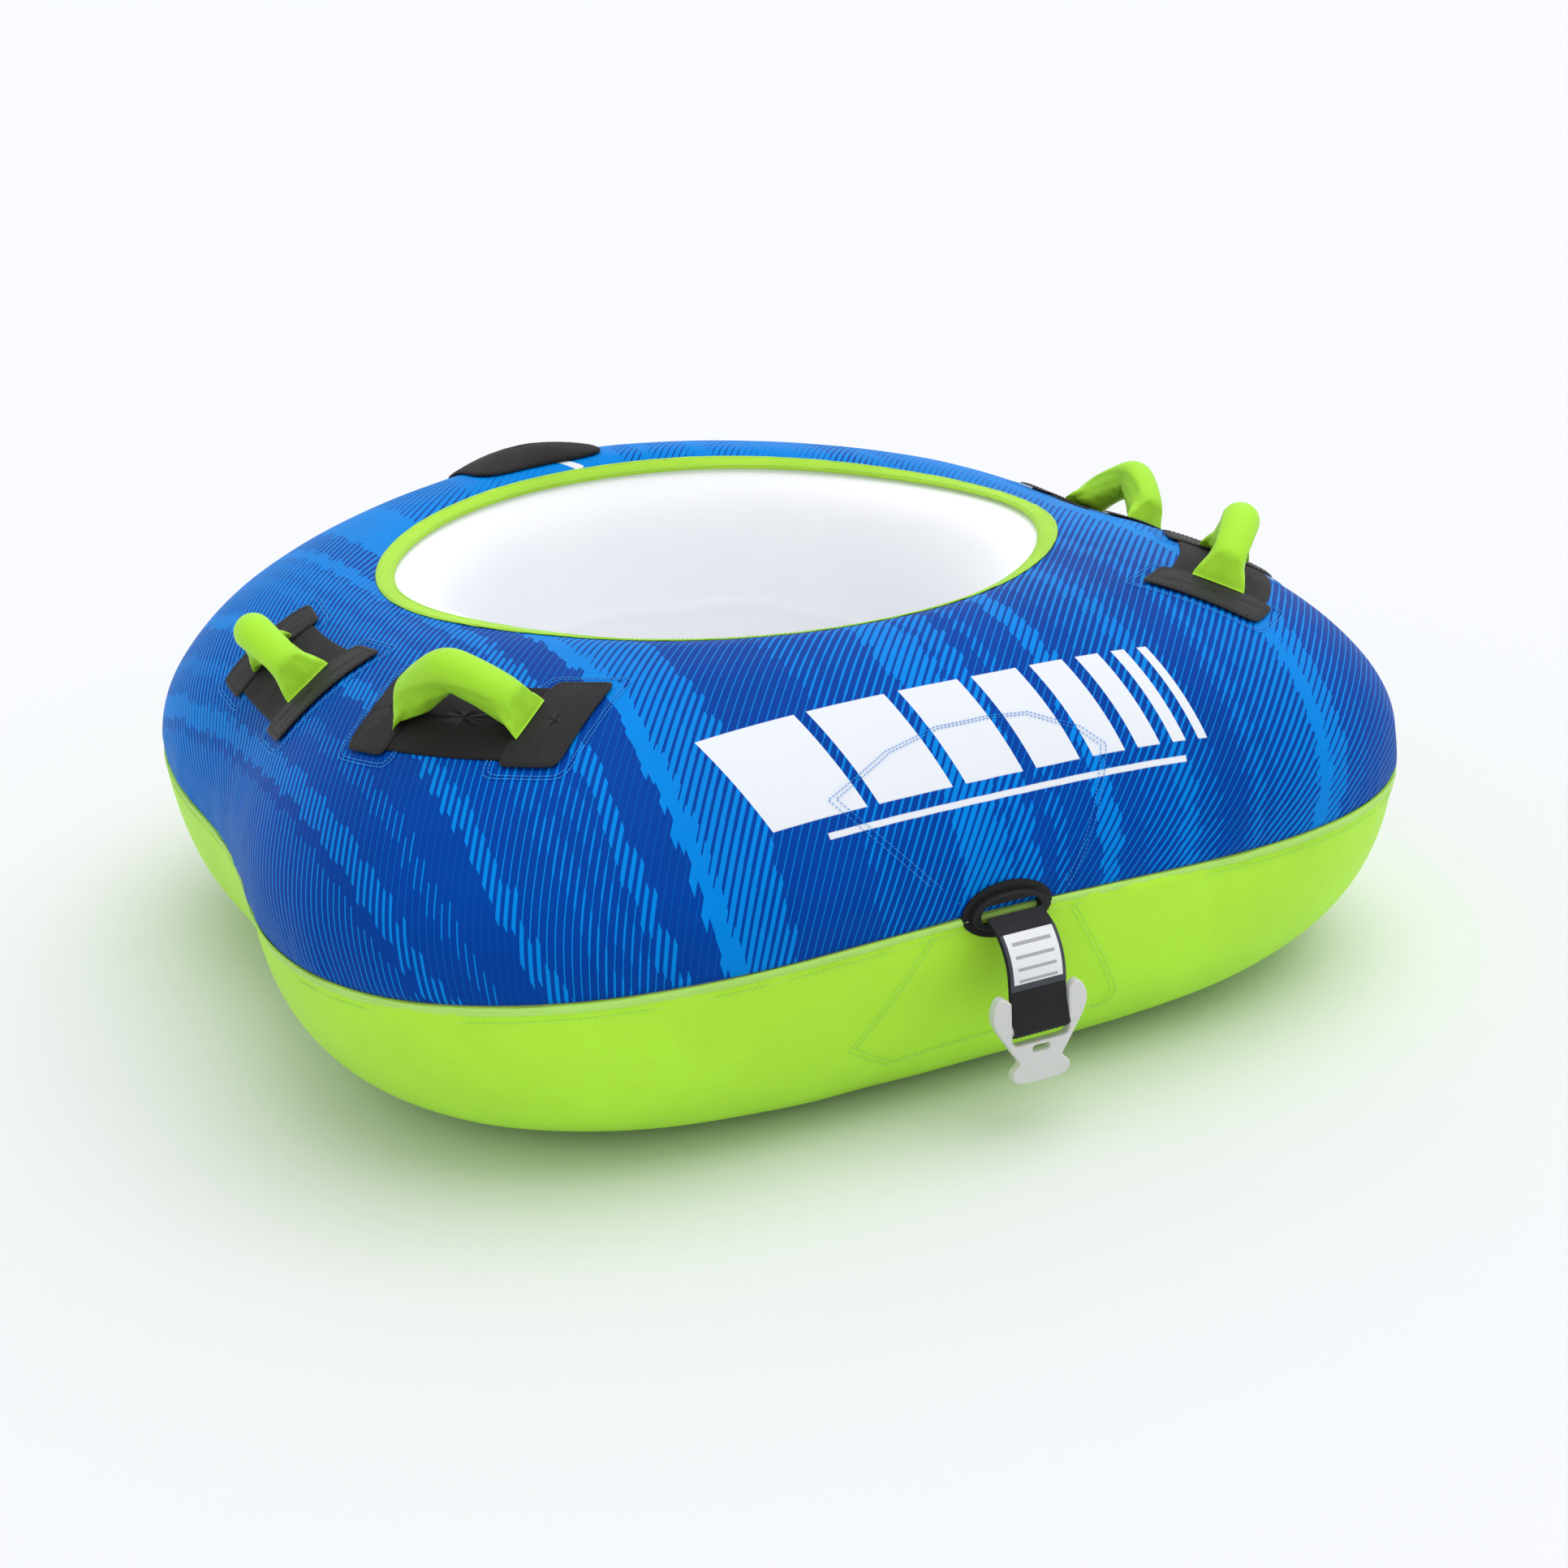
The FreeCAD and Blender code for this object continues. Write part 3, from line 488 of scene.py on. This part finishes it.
def hoop(name, profile, material, wave):
    """Closed band all round the tube from a closed profile of (section position, offset in metres)."""
    rows = len(profile)
    u = np.repeat(np.arange(COLUMNS) / COLUMNS, rows).reshape(COLUMNS, rows)
    v, offset = np.array(profile).T
    return mesh_object(name, skin(u, np.broadcast_to(v, u.shape), offset[None] + wave[:, None]),
                       grid_faces(COLUMNS, rows, True, True), "hull", material)


def stitches(name, u, v, offset, material, slot, pitch=0.0042, length=0.0030, radius=0.00042,
             closed=False, points=None, normals=None):
    """Row of threads along a line on the skin, each a short spindle sunk at both ends."""
    if points is None:
        points, normals = skin(u, v, offset), skin_normal(u, v)
    if closed:
        points, normals = np.concatenate([points, points[:1]]), np.concatenate([normals, normals[:1]])
    run = np.concatenate([[0.0], np.cumsum(np.linalg.norm(np.diff(points, axis=0), axis=-1))])
    count = max(1, int(run[-1] / pitch))
    middle = (np.arange(count) + 0.5) * run[-1] / count

    def at(s, line):
        return np.stack([np.interp(s, run, line[:, k]) for k in range(3)], -1)
    ahead = at(middle + length / 2, points) - at(middle - length / 2, points)
    ahead /= np.linalg.norm(ahead, axis=-1, keepdims=True)
    lift = at(middle, normals)
    side = np.cross(ahead, lift)
    spindle, sides = ((-0.5, 0.25), (-0.38, 0.85), (0.0, 1.0), (0.38, 0.85), (0.5, 0.25)), 6
    rings = []
    for along, swell in spindle:
        for k in range(sides):
            turn = 2 * math.pi * k / sides
            rings.append(at(middle, points) + ahead * (along * length)
                         + (side * math.cos(turn) + lift * (math.sin(turn) + swell - 0.6)) * radius * swell)
    points = np.stack(rings, 1).reshape(-1, 3)
    step, faces = len(spindle) * sides, []
    one = grid_faces(len(spindle), sides, close_columns=True)
    one += [tuple(range(sides))[::-1], tuple(range(step - sides, step))]
    for k in range(count):
        faces += [tuple(k * step + i for i in face) for face in one]
    return mesh_object(name, points, faces, "hull", material)


all_u = np.arange(COLUMNS) / COLUMNS
seam_wave = 0.0005 * np.clip(ripple(300, COLUMNS, 31), 0, 1)
hoop("seam_fold", [(SEAM_V - 0.0010, 0.0002), (SEAM_V - 0.0008, 0.0014), (SEAM_V - 0.0020, 0.0020),
                   (SEAM_V - 0.0046, 0.0021), (SEAM_V - 0.0066, 0.0017), (SEAM_V - 0.0074, 0.0008),
                   (SEAM_V - 0.0070, 0.0002)], seam_fold_highlight, seam_wave)
for k, drop in enumerate((-0.0036, -0.0125)):
    level = 0.0022 if k == 0 else 0.0011
    stitches(f"seam_stitches_{k + 1}", all_u, np.full(COLUMNS, SEAM_V + drop), level, thread_lime,
             "lime_nylon", closed=True)

# ---- Opening binding ------------------------------------------------------------
# Lime webbing folded over the hem of the top panel where the rider well opens, sewn through all layers
# with a row of stitches near each edge.

binding_finish = cloth("binding_lime", (0.40, 0.72, 0.045), 0.55, pitch=0.0016)
binding = binding_finish.material
B0, B1 = OPENING_V, OPENING_V + 0.0147
opening_wave = 0.00025 * ripple(220, COLUMNS, 41)
opening = hoop("opening_binding_fold", [
    (B0, 0.0005), (B0 + 0.0004, 0.0013), (B0 + 0.0030, 0.0016), (B0 + 0.0075, 0.0017), (B0 + 0.0118, 0.0015),
    (B1 - 0.0008, 0.0009), (B1, -0.0005), (B1 - 0.0008, -0.0018), (B0 + 0.0118, -0.0023),
    (B0 + 0.0060, -0.0024),
    (B0, -0.0022), (B0, -0.0015), (B0 + 0.0060, -0.0014), (B0 + 0.0126, -0.0013), (B0 + 0.0129, 0.0002),
    (B0 + 0.0060, 0.0004)], binding, np.clip(opening_wave, -0.0001, 0.0005))
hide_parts("opening_binding")
for k, rise in enumerate((0.0022, 0.0120)):
    stitches(f"binding_stitches_{k + 1}", all_u, np.full(COLUMNS, B0 + rise), 0.0017, thread_lime,
             "lime_nylon", closed=True, pitch=0.0038, length=0.0028)

# ---- Floor panel and hidden reinforcement ------------------------------------------
# The well is closed below by a laminated floor cloth. Liner tape backs the side seam, two liner panels
# back the tow point, and a webbing harness runs inside the covers from the tow point to each side.

liner = cloth("liner_cloth", (0.60, 0.62, 0.66), 0.6, pitch=0.0014).material
webbing_black = cloth("black_webbing", (0.016, 0.016, 0.018), 0.6, pitch=0.0018, spread=0.2)


def dress(material, *nodes):
    """Gives carried-over CAD nodes a material."""
    for name in nodes:
        node = frame["nodes"][name]
        if not node.material_slots:
            node.data.materials.append(material)
        for place in node.material_slots:
            place.material = material


dress(liner, "floor_panel", "seam_tape", "tow_panel_upper", "tow_panel_lower")
dress(webbing_black.material, "harness_right", "harness_left")

# ---- Handles ----------------------------------------------------------------------
# Four alike: a neoprene pad sewn to the cover saves the rider's knuckles, two nylon end patches are sewn
# over its ends, and a lime sleeve stuffed with a foam tube arches from patch to patch. The sleeve's ends
# are flattened and stitched down, so the grip leans to either side on them.

HANDLES = (("front", 51.8, 0.537), ("rear", 91.4, 0.536))
PAD_SIZE, PATCH_SIZE, PATCH_SHIFT = (0.196, 0.086), (0.049, 0.101), 0.0775
GRIP_LINE = ((-0.0580, -0.0186), (-0.0535, -0.0120), (-0.0470, -0.0055), (-0.0365, 0.0040), (-0.0225, 0.0140),
             (-0.0090, 0.0220), (0.0, 0.0245))
GRIP_R = 0.0165
END_STITCH_INSET, OUTLINE_GAPS = 0.007, (0.0140, 0.0203)
PRESSURE, SHRINK, SWELL_CAP, SWELL_FRAMES = 4.0, -0.03, 0.0022, 20

neoprene = cloth("black_neoprene", (0.013, 0.012, 0.013), 0.72, pitch=0.0011, spread=0.25, sheen=0.05)
neoprene.bump(neoprene.noise(90.0, detail=4.0), 0.0005, 0.5)
patch_nylon = cloth("black_nylon", (0.018, 0.017, 0.019), 0.55, pitch=0.0016, spread=0.2)
thread_blue = cloth("blue_thread", (0.05, 0.33, 0.80), 0.5, pitch=0.0005).material
thread_black = cloth("black_thread", (0.035, 0.034, 0.036), 0.5, pitch=0.0005).material
sleeve_lime = cloth("sleeve_lime", (0.40, 0.80, 0.036), 0.44, pitch=0.0010)
crease = sleeve_lime.noise(34.0, detail=2.0, rough=0.4)
sleeve_lime.bump(crease, 0.0025, 0.35)


def rounded(length, width, count, power=9.0):
    turn = 2 * math.pi * (np.arange(count) + 0.5) / count
    c, s = np.cos(turn), np.sin(turn)
    reach = (np.abs(c) ** power + np.abs(s) ** power) ** (-1 / power)
    return c * reach * length / 2, s * reach * width / 2


def patch(name, u, v, size, shift, low, high, body, material, mirror=1, dome=0.0, power=9.0, lumps=0.0,
          seed=1, count=200):
    """Sewn-on piece of sheet that follows the skin, rounded over at its edge."""
    x, y = rounded(*size, count, power)
    rings = [(r, 1.0) for r in (0.02, 0.2, 0.4, 0.58, 0.72, 0.82, 0.89, 0.94)]
    rings += [(0.965, 0.93), (0.985, 0.72), (0.996, 0.4), (1.0, 0.1)]
    rings += [(r, 0.0) for r in (0.995, 0.94, 0.6, 0.02)]
    random = ripple(24, count, seed) * lumps
    points = []
    for r, share in rings:
        offset = low + (high - low) * share
        if dome:
            offset = offset + dome * (1 - (r * 2 * x / size[0]) ** 2) * (1 - (r * 2 * y / size[1]) ** 2)
        if share == 1.0:
            offset = offset + random * r * (1 - r) * 4
        points.append(skin(*on_skin(u, v, r * x + shift, r * y), offset))
    points = np.stack(points) * (mirror, 1, 1)
    faces = grid_faces(len(rings), count, close_columns=True)
    faces += [tuple(range(count))[::-1], tuple(range((len(rings) - 1) * count, len(rings) * count))]
    if mirror > 0:
        faces = [face[::-1] for face in faces]
    return mesh_object(name, points, faces, body, material)


def outline_stitches(name, u, v, size, shift, offset, material, slot, mirror, **sizes):
    x, y = rounded(*size, 240)
    place = on_skin(u, v, x + shift, y)
    points, normals = skin(*place, offset), skin_normal(*place)
    stitches(name, None, None, 0, material, slot, closed=True, points=points * (mirror, 1, 1),
             normals=normals * (mirror, 1, 1), **sizes)


def smooth_line(points, count):
    """Cubic line through control points, even along its length."""
    points = np.array(points, float)
    points = np.concatenate([2 * points[:1] - points[1:2], points, 2 * points[-1:] - points[-2:-1]])
    t = np.linspace(0, len(points) - 3 - 1e-9, count * 4)
    i, f = t.astype(int), (t % 1)[:, None]
    a, b, c, d = (points[i + k] for k in range(4))
    line = 0.5 * (2 * b + (c - a) * f + (2 * a - 5 * b + 4 * c - d) * f ** 2
                  + (3 * b - a - 3 * c + d) * f ** 3)
    run = np.concatenate([[0.0], np.cumsum(np.linalg.norm(np.diff(line, axis=0), axis=-1))])
    even = np.linspace(0, run[-1], count)
    return np.stack([np.interp(even, run, line[:, k]) for k in range(line.shape[1])], -1)


SLEEVE_ROWS, SLEEVE_COLUMNS = 88, 44


def sleeve_shape():
    """Stuffed sleeve in the handle's own axes: round along the arch, flat where it is sewn down."""
    half = list(GRIP_LINE)
    line = smooth_line(half + [(-x, z) for x, z in half[-2::-1]], SLEEVE_ROWS)
    ahead = np.gradient(line, axis=0)
    ahead /= np.linalg.norm(ahead, axis=-1, keepdims=True)
    step = np.linalg.norm(np.diff(line, axis=0), axis=-1)
    run = np.concatenate([[0.0], np.cumsum(step)])
    foot = np.minimum(run, run[-1] - run)
    full = np.clip(foot / 0.026, 0, 1)
    full = full * full * (3 - 2 * full)
    depth = 0.0012 + (GRIP_R - 0.0012) * full ** 0.8
    width = 0.0235 + (GRIP_R - 0.0235) * full
    turn = 2 * math.pi * np.arange(SLEEVE_COLUMNS) / SLEEVE_COLUMNS
    across, out = np.cos(turn), np.sin(turn)
    tuck = np.exp(-((foot - run[-1] / 2 + 0.002) / 0.004) ** 2) * 0.0016
    points = np.zeros((SLEEVE_ROWS, SLEEVE_COLUMNS, 3))
    d = depth[:, None] * out - tuck[:, None] * np.clip(-out, 0, 1) ** 2
    points[..., 0] = line[:, :1] - ahead[:, 1:] * d
    points[..., 1] = width[:, None] * across
    points[..., 2] = line[:, 1:] + ahead[:, :1] * d
    return points, foot


def swell(points, faces, fixed, cap):
    """Cloth under air pressure: the points where a stuffed cover comes to rest, no further than cap."""
    mesh = bpy.data.meshes.new("swelling")
    mesh.from_pydata([tuple(p) for p in points], [], faces)
    obj = bpy.data.objects.new("swelling", mesh)
    bpy.context.collection.objects.link(obj)
    pins = obj.vertex_groups.new(name="pins")
    pins.add([int(i) for i in np.nonzero(fixed)[0]], 1.0, "REPLACE")
    cloth_modifier = obj.modifiers.new("Cloth", "CLOTH")
    settings = cloth_modifier.settings
    settings.use_pressure, settings.uniform_pressure_force = True, PRESSURE
    settings.shrink_min = SHRINK
    settings.vertex_group_mass = "pins"
    settings.effector_weights.gravity = 0
    for frame_number in range(1, SWELL_FRAMES + 1):
        bpy.context.scene.frame_set(frame_number)
    graph = bpy.context.evaluated_depsgraph_get()
    result = obj.evaluated_get(graph).to_mesh()
    moved = np.empty(len(points) * 3)
    result.vertices.foreach_get("co", moved)
    moved = moved.reshape(-1, 3) - points
    bpy.data.objects.remove(obj)
    bpy.context.scene.frame_set(1)
    size = np.linalg.norm(moved, axis=-1, keepdims=True)
    return points + moved * np.minimum(1, cap / np.maximum(size, 1e-9))


grip_points, grip_foot = sleeve_shape()
grip_faces = grid_faces(SLEEVE_ROWS, SLEEVE_COLUMNS, close_columns=True)
grip_faces += [tuple(range(SLEEVE_COLUMNS))[::-1],
               tuple(range((SLEEVE_ROWS - 1) * SLEEVE_COLUMNS, SLEEVE_ROWS * SLEEVE_COLUMNS))]
held = np.repeat(grip_foot < 0.006, SLEEVE_COLUMNS)
grip_points = swell(grip_points.reshape(-1, 3), grip_faces, held, SWELL_CAP).reshape(grip_points.shape)


def local_axes(x_axis, z_axis):
    """Matrix with the local axes as rows: x along, y across, z out."""
    x_axis = np.array(x_axis, float) / np.linalg.norm(x_axis)
    z_axis = z_axis - x_axis * (z_axis @ x_axis)
    z_axis = z_axis / np.linalg.norm(z_axis)
    return np.stack([x_axis, np.cross(z_axis, x_axis), z_axis])


joint_named = {joint["name"]: joint for joint in frame["joints"]}
for end_name, angle, v in HANDLES:
    u = angle / 360
    joint = joint_named[f"grip_{end_name}_right_lean"]
    pivot = np.array(joint["pos_m"])
    axes = local_axes(skin(u + 0.01, v) - skin(u - 0.01, v), skin_normal(np.float64(u), np.float64(v)))
    axes = local_axes(np.array(joint["axis"]) * np.sign(axes[0] @ np.array(joint["axis"])), axes[2])
    for side_name, mirror in (("right", 1), ("left", -1)):
        grip = f"grip_{end_name}_{side_name}"
        pad = patch(f"{grip}_knuckle_pad", u, v, PAD_SIZE, 0.0, 0.0006, 0.0024, "hull", neoprene.material,
                    mirror, lumps=0.0005, seed=51)
        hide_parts(f"{grip}_pad")
        for k, way in enumerate((-1, 1)):
            shift = way * PATCH_SHIFT
            patch(f"{grip}_end_patch_{k + 1}", u, v, PATCH_SIZE, shift, 0.0025, 0.0038, "hull",
                              patch_nylon.material, mirror, lumps=0.0003, seed=61 + k)
            sewn = [side - END_STITCH_INSET for side in PATCH_SIZE]
            outline_stitches(f"{grip}_end_stitches_{k + 1}", u, v, sewn, shift, 0.0038, thread_black,
                             "black_nylon", mirror)
            for w, gap in enumerate(OUTLINE_GAPS):
                around = [side + gap for side in PATCH_SIZE]
                outline_stitches(f"{grip}_outline_{k + 1}{w + 1}", u, v, around, shift, 0.0008, thread_blue,
                                 "black_nylon", mirror, pitch=0.0036, length=0.0030, radius=0.0004)
        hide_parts(f"{grip}_end_patches")
        sleeve_points = (grip_points @ axes + pivot) * (mirror, 1, 1)
        faces = grip_faces if mirror > 0 else [face[::-1] for face in grip_faces]
        mesh = bpy.data.meshes.new(f"{grip}_stuffed_sleeve")
        mesh.from_pydata([tuple(p) for p in sleeve_points.reshape(-1, 3)], [], faces)
        mesh.polygons.foreach_set("use_smooth", [True] * len(mesh.polygons))
        mesh.materials.append(sleeve_lime.material)
        sleeve = bpy.data.objects.new(f"{grip}_stuffed_sleeve", mesh)
        bpy.context.collection.objects.link(sleeve)
        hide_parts(f"{grip}_sleeve", f"{grip}_ears", f"{grip}_foam", f"{grip}_core")
        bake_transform(sleeve)

# ---- Tow point ----------------------------------------------------------------------
# A black rubber collar on the seam, doubled black webbing that comes out through it and loops round the
# bar of a white moulded hook, and a woven cloth label sewn round the strap.

rubber = Finish("black_rubber", (0.011, 0.011, 0.012), 0.6, Specular_IOR_Level=0.25)
rubber.rough(rubber.math("MULTIPLY_ADD", rubber.noise(50.0), 0.25, 0.45))
rubber.bump(rubber.noise(160.0, detail=3.0), 0.0006, 0.5)
dress(rubber.material, "tow_collar")

STRAP_RUN = ((0.0, 0.0), (0.018, -0.009), (0.031, -0.030), (0.034, -0.066))
LOOP_CENTRE, LOOP_R = (0.034, -0.08015), 0.0062
STRAP_W, PLY, LABEL_LIFT = 0.050, 0.0017, 0.0026
strap_pivot = np.array(joint_named["strap_swing"]["pos_m"])


def strap_points(path, side_places, lift):
    """World points from (out, up) places and outward normals, for each place across the strap."""
    ahead = np.gradient(path, axis=0)
    ahead /= np.linalg.norm(ahead, axis=-1, keepdims=True)
    normal = np.stack([-ahead[:, 1], ahead[:, 0]], -1)
    points = np.zeros((len(path), len(side_places), 3))
    points[..., 0] = side_places
    points[..., 1] = -(path[:, :1] + normal[:, :1] * lift)
    points[..., 2] = path[:, 1:] + normal[:, 1:] * lift
    return points + strap_pivot


def band(name, path, width, half, body, material, ribs=0, columns=60):
    """Flat band along a path, ribbed lengthwise, with rolled edges."""
    across = np.linspace(-1, 1, columns)
    edge = np.sqrt(np.clip(1 - np.abs(across) ** 24, 0.02, 1))
    rib = 1 + 0.22 * np.cos(across * math.pi * ribs) if ribs else 1.0
    front = strap_points(path, across * width / 2, (half * edge * rib)[None])
    back = strap_points(path, across * width / 2, (-half * edge * rib)[None])
    ring = np.concatenate([front, back[:, ::-1]], axis=1)
    rows, count = ring.shape[:2]
    faces = grid_faces(rows, count, close_columns=True)
    faces += [tuple(range(count))[::-1], tuple(range((rows - 1) * count, rows * count))]
    return mesh_object(name, ring, faces, body, material)


strap_line = smooth_line(STRAP_RUN, 40)
turns = np.linspace(math.radians(12), math.radians(-192), 25)
loop = np.stack([LOOP_CENTRE[0] + LOOP_R * np.cos(turns), LOOP_CENTRE[1] + LOOP_R * np.sin(turns)], -1)
ahead = np.gradient(strap_line, axis=0)
ahead /= np.linalg.norm(ahead, axis=-1, keepdims=True)
outward = np.stack([-ahead[:, 1], ahead[:, 0]], -1)
route = np.concatenate([strap_line + outward * PLY / 2, loop, (strap_line - outward * PLY / 2)[::-1]])
strap = band("tow_strap_webbing", smooth_line(route[::3], 260), STRAP_W, PLY / 2 - 0.00005, "tow_strap",
             webbing_black.material, ribs=14)
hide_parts("tow_strap")

label_finish = cloth("label_cloth", (0.78, 0.79, 0.82), 0.6, pitch=0.0007)
label_run = smooth_line(STRAP_RUN, 100)[24:78]
label_ahead = np.gradient(label_run, axis=0)
label_ahead /= np.linalg.norm(label_ahead, axis=-1, keepdims=True)
label_run = label_run + np.stack([-label_ahead[:, 1], label_ahead[:, 0]], -1) * LABEL_LIFT
label = band("strap_label_sleeve", label_run, STRAP_W - 0.001, 0.0004, "tow_strap", label_finish.material,
             columns=40)
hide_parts("strap_label")
across_x = label_finish.node("ShaderNodeSeparateXYZ", {0: label_finish.coordinates()}).outputs
border = label_finish.math("GREATER_THAN", label_finish.math("ABSOLUTE", across_x[0]), 0.0215)
low_edge = label_finish.math("LESS_THAN", across_x[2], strap_pivot[2] - 0.0425)
row = label_finish.math("PINGPONG", label_finish.math("ADD", across_x[2], 0.5), 0.0045)
mark = label_finish.math("MULTIPLY", label_finish.math("LESS_THAN", row, 0.0012),
                         label_finish.math("LESS_THAN", label_finish.math("ABSOLUTE", across_x[0]), 0.017))
printed = label_finish.math("MAXIMUM", label_finish.math("MAXIMUM", border, low_edge),
                            label_finish.math("MULTIPLY", mark, 0.55))
under = label_finish.shader.inputs["Base Color"].links[0].from_socket
label_finish.colour(label_finish.mix(printed, under, (0.06, 0.065, 0.08)))

moulded = Finish("white_moulding", (0.62, 0.63, 0.62), 0.38, Subsurface_Weight=0.25, Subsurface_Scale=0.004)
moulded.colour(moulded.mix(moulded.noise(30.0), (0.60, 0.61, 0.59), (0.68, 0.685, 0.67)))
moulded.rough(moulded.math("MULTIPLY_ADD", moulded.noise(120.0), 0.2, 0.28))
moulded.bump(moulded.noise(200.0), 0.0002, 0.3)
hook_mesh = frame["nodes"]["tow_hook"].data.copy()
hook = bpy.data.objects.new("tow_hook_moulding", hook_mesh)
bpy.context.collection.objects.link(hook)
voxels = hook.modifiers.new("voxels", "REMESH")
voxels.mode, voxels.voxel_size, voxels.use_smooth_shade = "VOXEL", 0.0008, True
soften = hook.modifiers.new("soften", "SMOOTH")
soften.factor, soften.iterations = 0.5, 8
graph = bpy.context.evaluated_depsgraph_get()
hook.data = bpy.data.meshes.new_from_object(hook.evaluated_get(graph))
hook.modifiers.clear()
hook.data.materials.clear()
hook.data.materials.append(moulded.material)
hook.data.polygons.foreach_set("use_smooth", [True] * len(hook.data.polygons))
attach(hook, "tow_hook")
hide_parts("tow_hook")

# Reinforcement sewn behind the tow point shows as double rows of thread on the covers.
UPPER_SHAPE = ((-5.0, 0.342), (-16.0, 0.453), (-9.3, 0.487), (-3.2, 0.501), (3.0, 0.501), (7.5, 0.496),
               (12.0, 0.471), (13.6, 0.45), (6.4, 0.340))
LOWER_SHAPE = ((-7.4, 0.326), (-15.7, 0.228), (-11.7, 0.192), (12.7, 0.196), (13.2, 0.214), (7.1, 0.322))
for name, shape, thread in (("upper", UPPER_SHAPE, thread_blue), ("lower", LOWER_SHAPE, thread_lime)):
    for k, shrink in enumerate((1.0, 0.955)):
        corners = np.array(shape)
        middle = corners.mean(axis=0)
        corners = middle + (corners - middle) * shrink
        runs = [np.linspace(a, b, 12)[:-1] for a, b in zip(corners, corners[1:])]
        line = np.concatenate(runs + [corners[-1:]])
        stitches(f"tow_{name}_stitches_{k + 1}", line[:, 0] / 360, line[:, 1], 0.0011, thread,
                 "print_nylon" if name == "upper" else "lime_nylon", pitch=0.0034, length=0.0026,
                 radius=0.00035)

# ---- Valve and its flap ---------------------------------------------------------------
# A screw cap on a soft retainer closes the moulded valve in the bladder. A domed neoprene flap, hinged
# by its sewn front edge, covers it and is held shut by hook-and-loop strips.

valve_plastic = Finish("valve_plastic", (0.03, 0.032, 0.036), 0.42)
valve_plastic.rough(valve_plastic.math("MULTIPLY_ADD", valve_plastic.noise(90.0), 0.2, 0.32))
valve_plastic.bump(valve_plastic.noise(260.0), 0.0002, 0.3)
dress(valve_plastic.material, "valve_socket", "valve_retainer", "valve_cap")
dress(vinyl.material, "valve_flange")
dress(rubber.material, "valve_disc")
fuzz = Finish("hook_and_loop", (0.02, 0.02, 0.022), 0.9, Sheen_Weight=0.1)
fuzz.bump(fuzz.noise(1400.0, detail=2.0), 0.0012, 1.0)
dress(fuzz.material, "flap_loop_strip", "flap_hook_strip")

FLAP_SIZE, FLAP_DOME = (0.150, 0.104), 0.011
flap = patch("valve_flap_cover", VALVE_U, VALVE_V, FLAP_SIZE, 0.0, 0.0019, 0.0043, "valve_flap",
             neoprene.material, dome=FLAP_DOME, power=5.0, lumps=0.0006, seed=71)
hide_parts("valve_flap")

# ---- Stage ------------------------------------------------------------------------------
# Plain pale floor, soft studio light and the camera.

floor = bpy.data.meshes.new("floor")
floor.from_pydata([(-60, -60, 0), (60, -60, 0), (60, 60, 0), (-60, 60, 0)], [], [(0, 1, 2, 3)])
floor_object = bpy.data.objects.new("floor", floor)
bpy.context.collection.objects.link(floor_object)
ground = Finish("floor_paper", (0.80, 0.81, 0.82), 0.95)
ground.colour(ground.mix(ground.noise(0.8), (0.795, 0.803, 0.818), (0.805, 0.813, 0.828)))
floor.materials.append(ground.material)

bpy.context.scene.view_settings.view_transform = "Standard"
world = bpy.data.worlds.new("studio")
world.use_nodes = True
world.node_tree.nodes["Background"].inputs[0].default_value = (0.945, 0.95, 0.965, 1)
world.node_tree.nodes["Background"].inputs[1].default_value = 0.80
bpy.context.scene.world = world


def sun_light(name, place, angle, power):
    light = bpy.data.lights.new(name, "SUN")
    light.angle, light.energy = math.radians(angle), power
    obj = bpy.data.objects.new(name, light)
    obj.location = place
    obj.rotation_euler = (-Vector(place)).to_track_quat("-Z", "Y").to_euler()
    bpy.context.collection.objects.link(obj)


sun_light("key", (0.9, -0.5, 3.4), 60, 1.20)
sun_light("rim", (1.8, 2.0, 2.6), 60, 0.30)

AZIMUTH, ELEVATION, DISTANCE, ROLL, FOCAL = -24.2709, 20.5917, 2.4073, -3.2253, 3130.78
azimuth, elevation = math.radians(AZIMUTH), math.radians(ELEVATION)
back = Vector((math.sin(azimuth) * math.cos(elevation), -math.cos(azimuth) * math.cos(elevation),
               math.sin(elevation)))
right = Vector((math.cos(azimuth), math.sin(azimuth), 0))
up = back.cross(right)
aim = Vector((0, SHIFT_Y / 1000, 0.15)) + right * 0.0363 - up * 0.0254
turn = math.radians(ROLL)
side = right * math.cos(turn) + up * math.sin(turn)
head = back.cross(side)
camera = bpy.data.cameras.new("camera")
camera.lens, camera.sensor_width = 36 * FOCAL / 1932, 36
camera_object = bpy.data.objects.new("camera", camera)
place = aim + back * DISTANCE
camera_object.matrix_world = Matrix(((side.x, head.x, back.x, place.x), (side.y, head.y, back.y, place.y),
                                     (side.z, head.z, back.z, place.z), (0, 0, 0, 1)))
bpy.context.collection.objects.link(camera_object)
bpy.context.scene.camera = camera_object
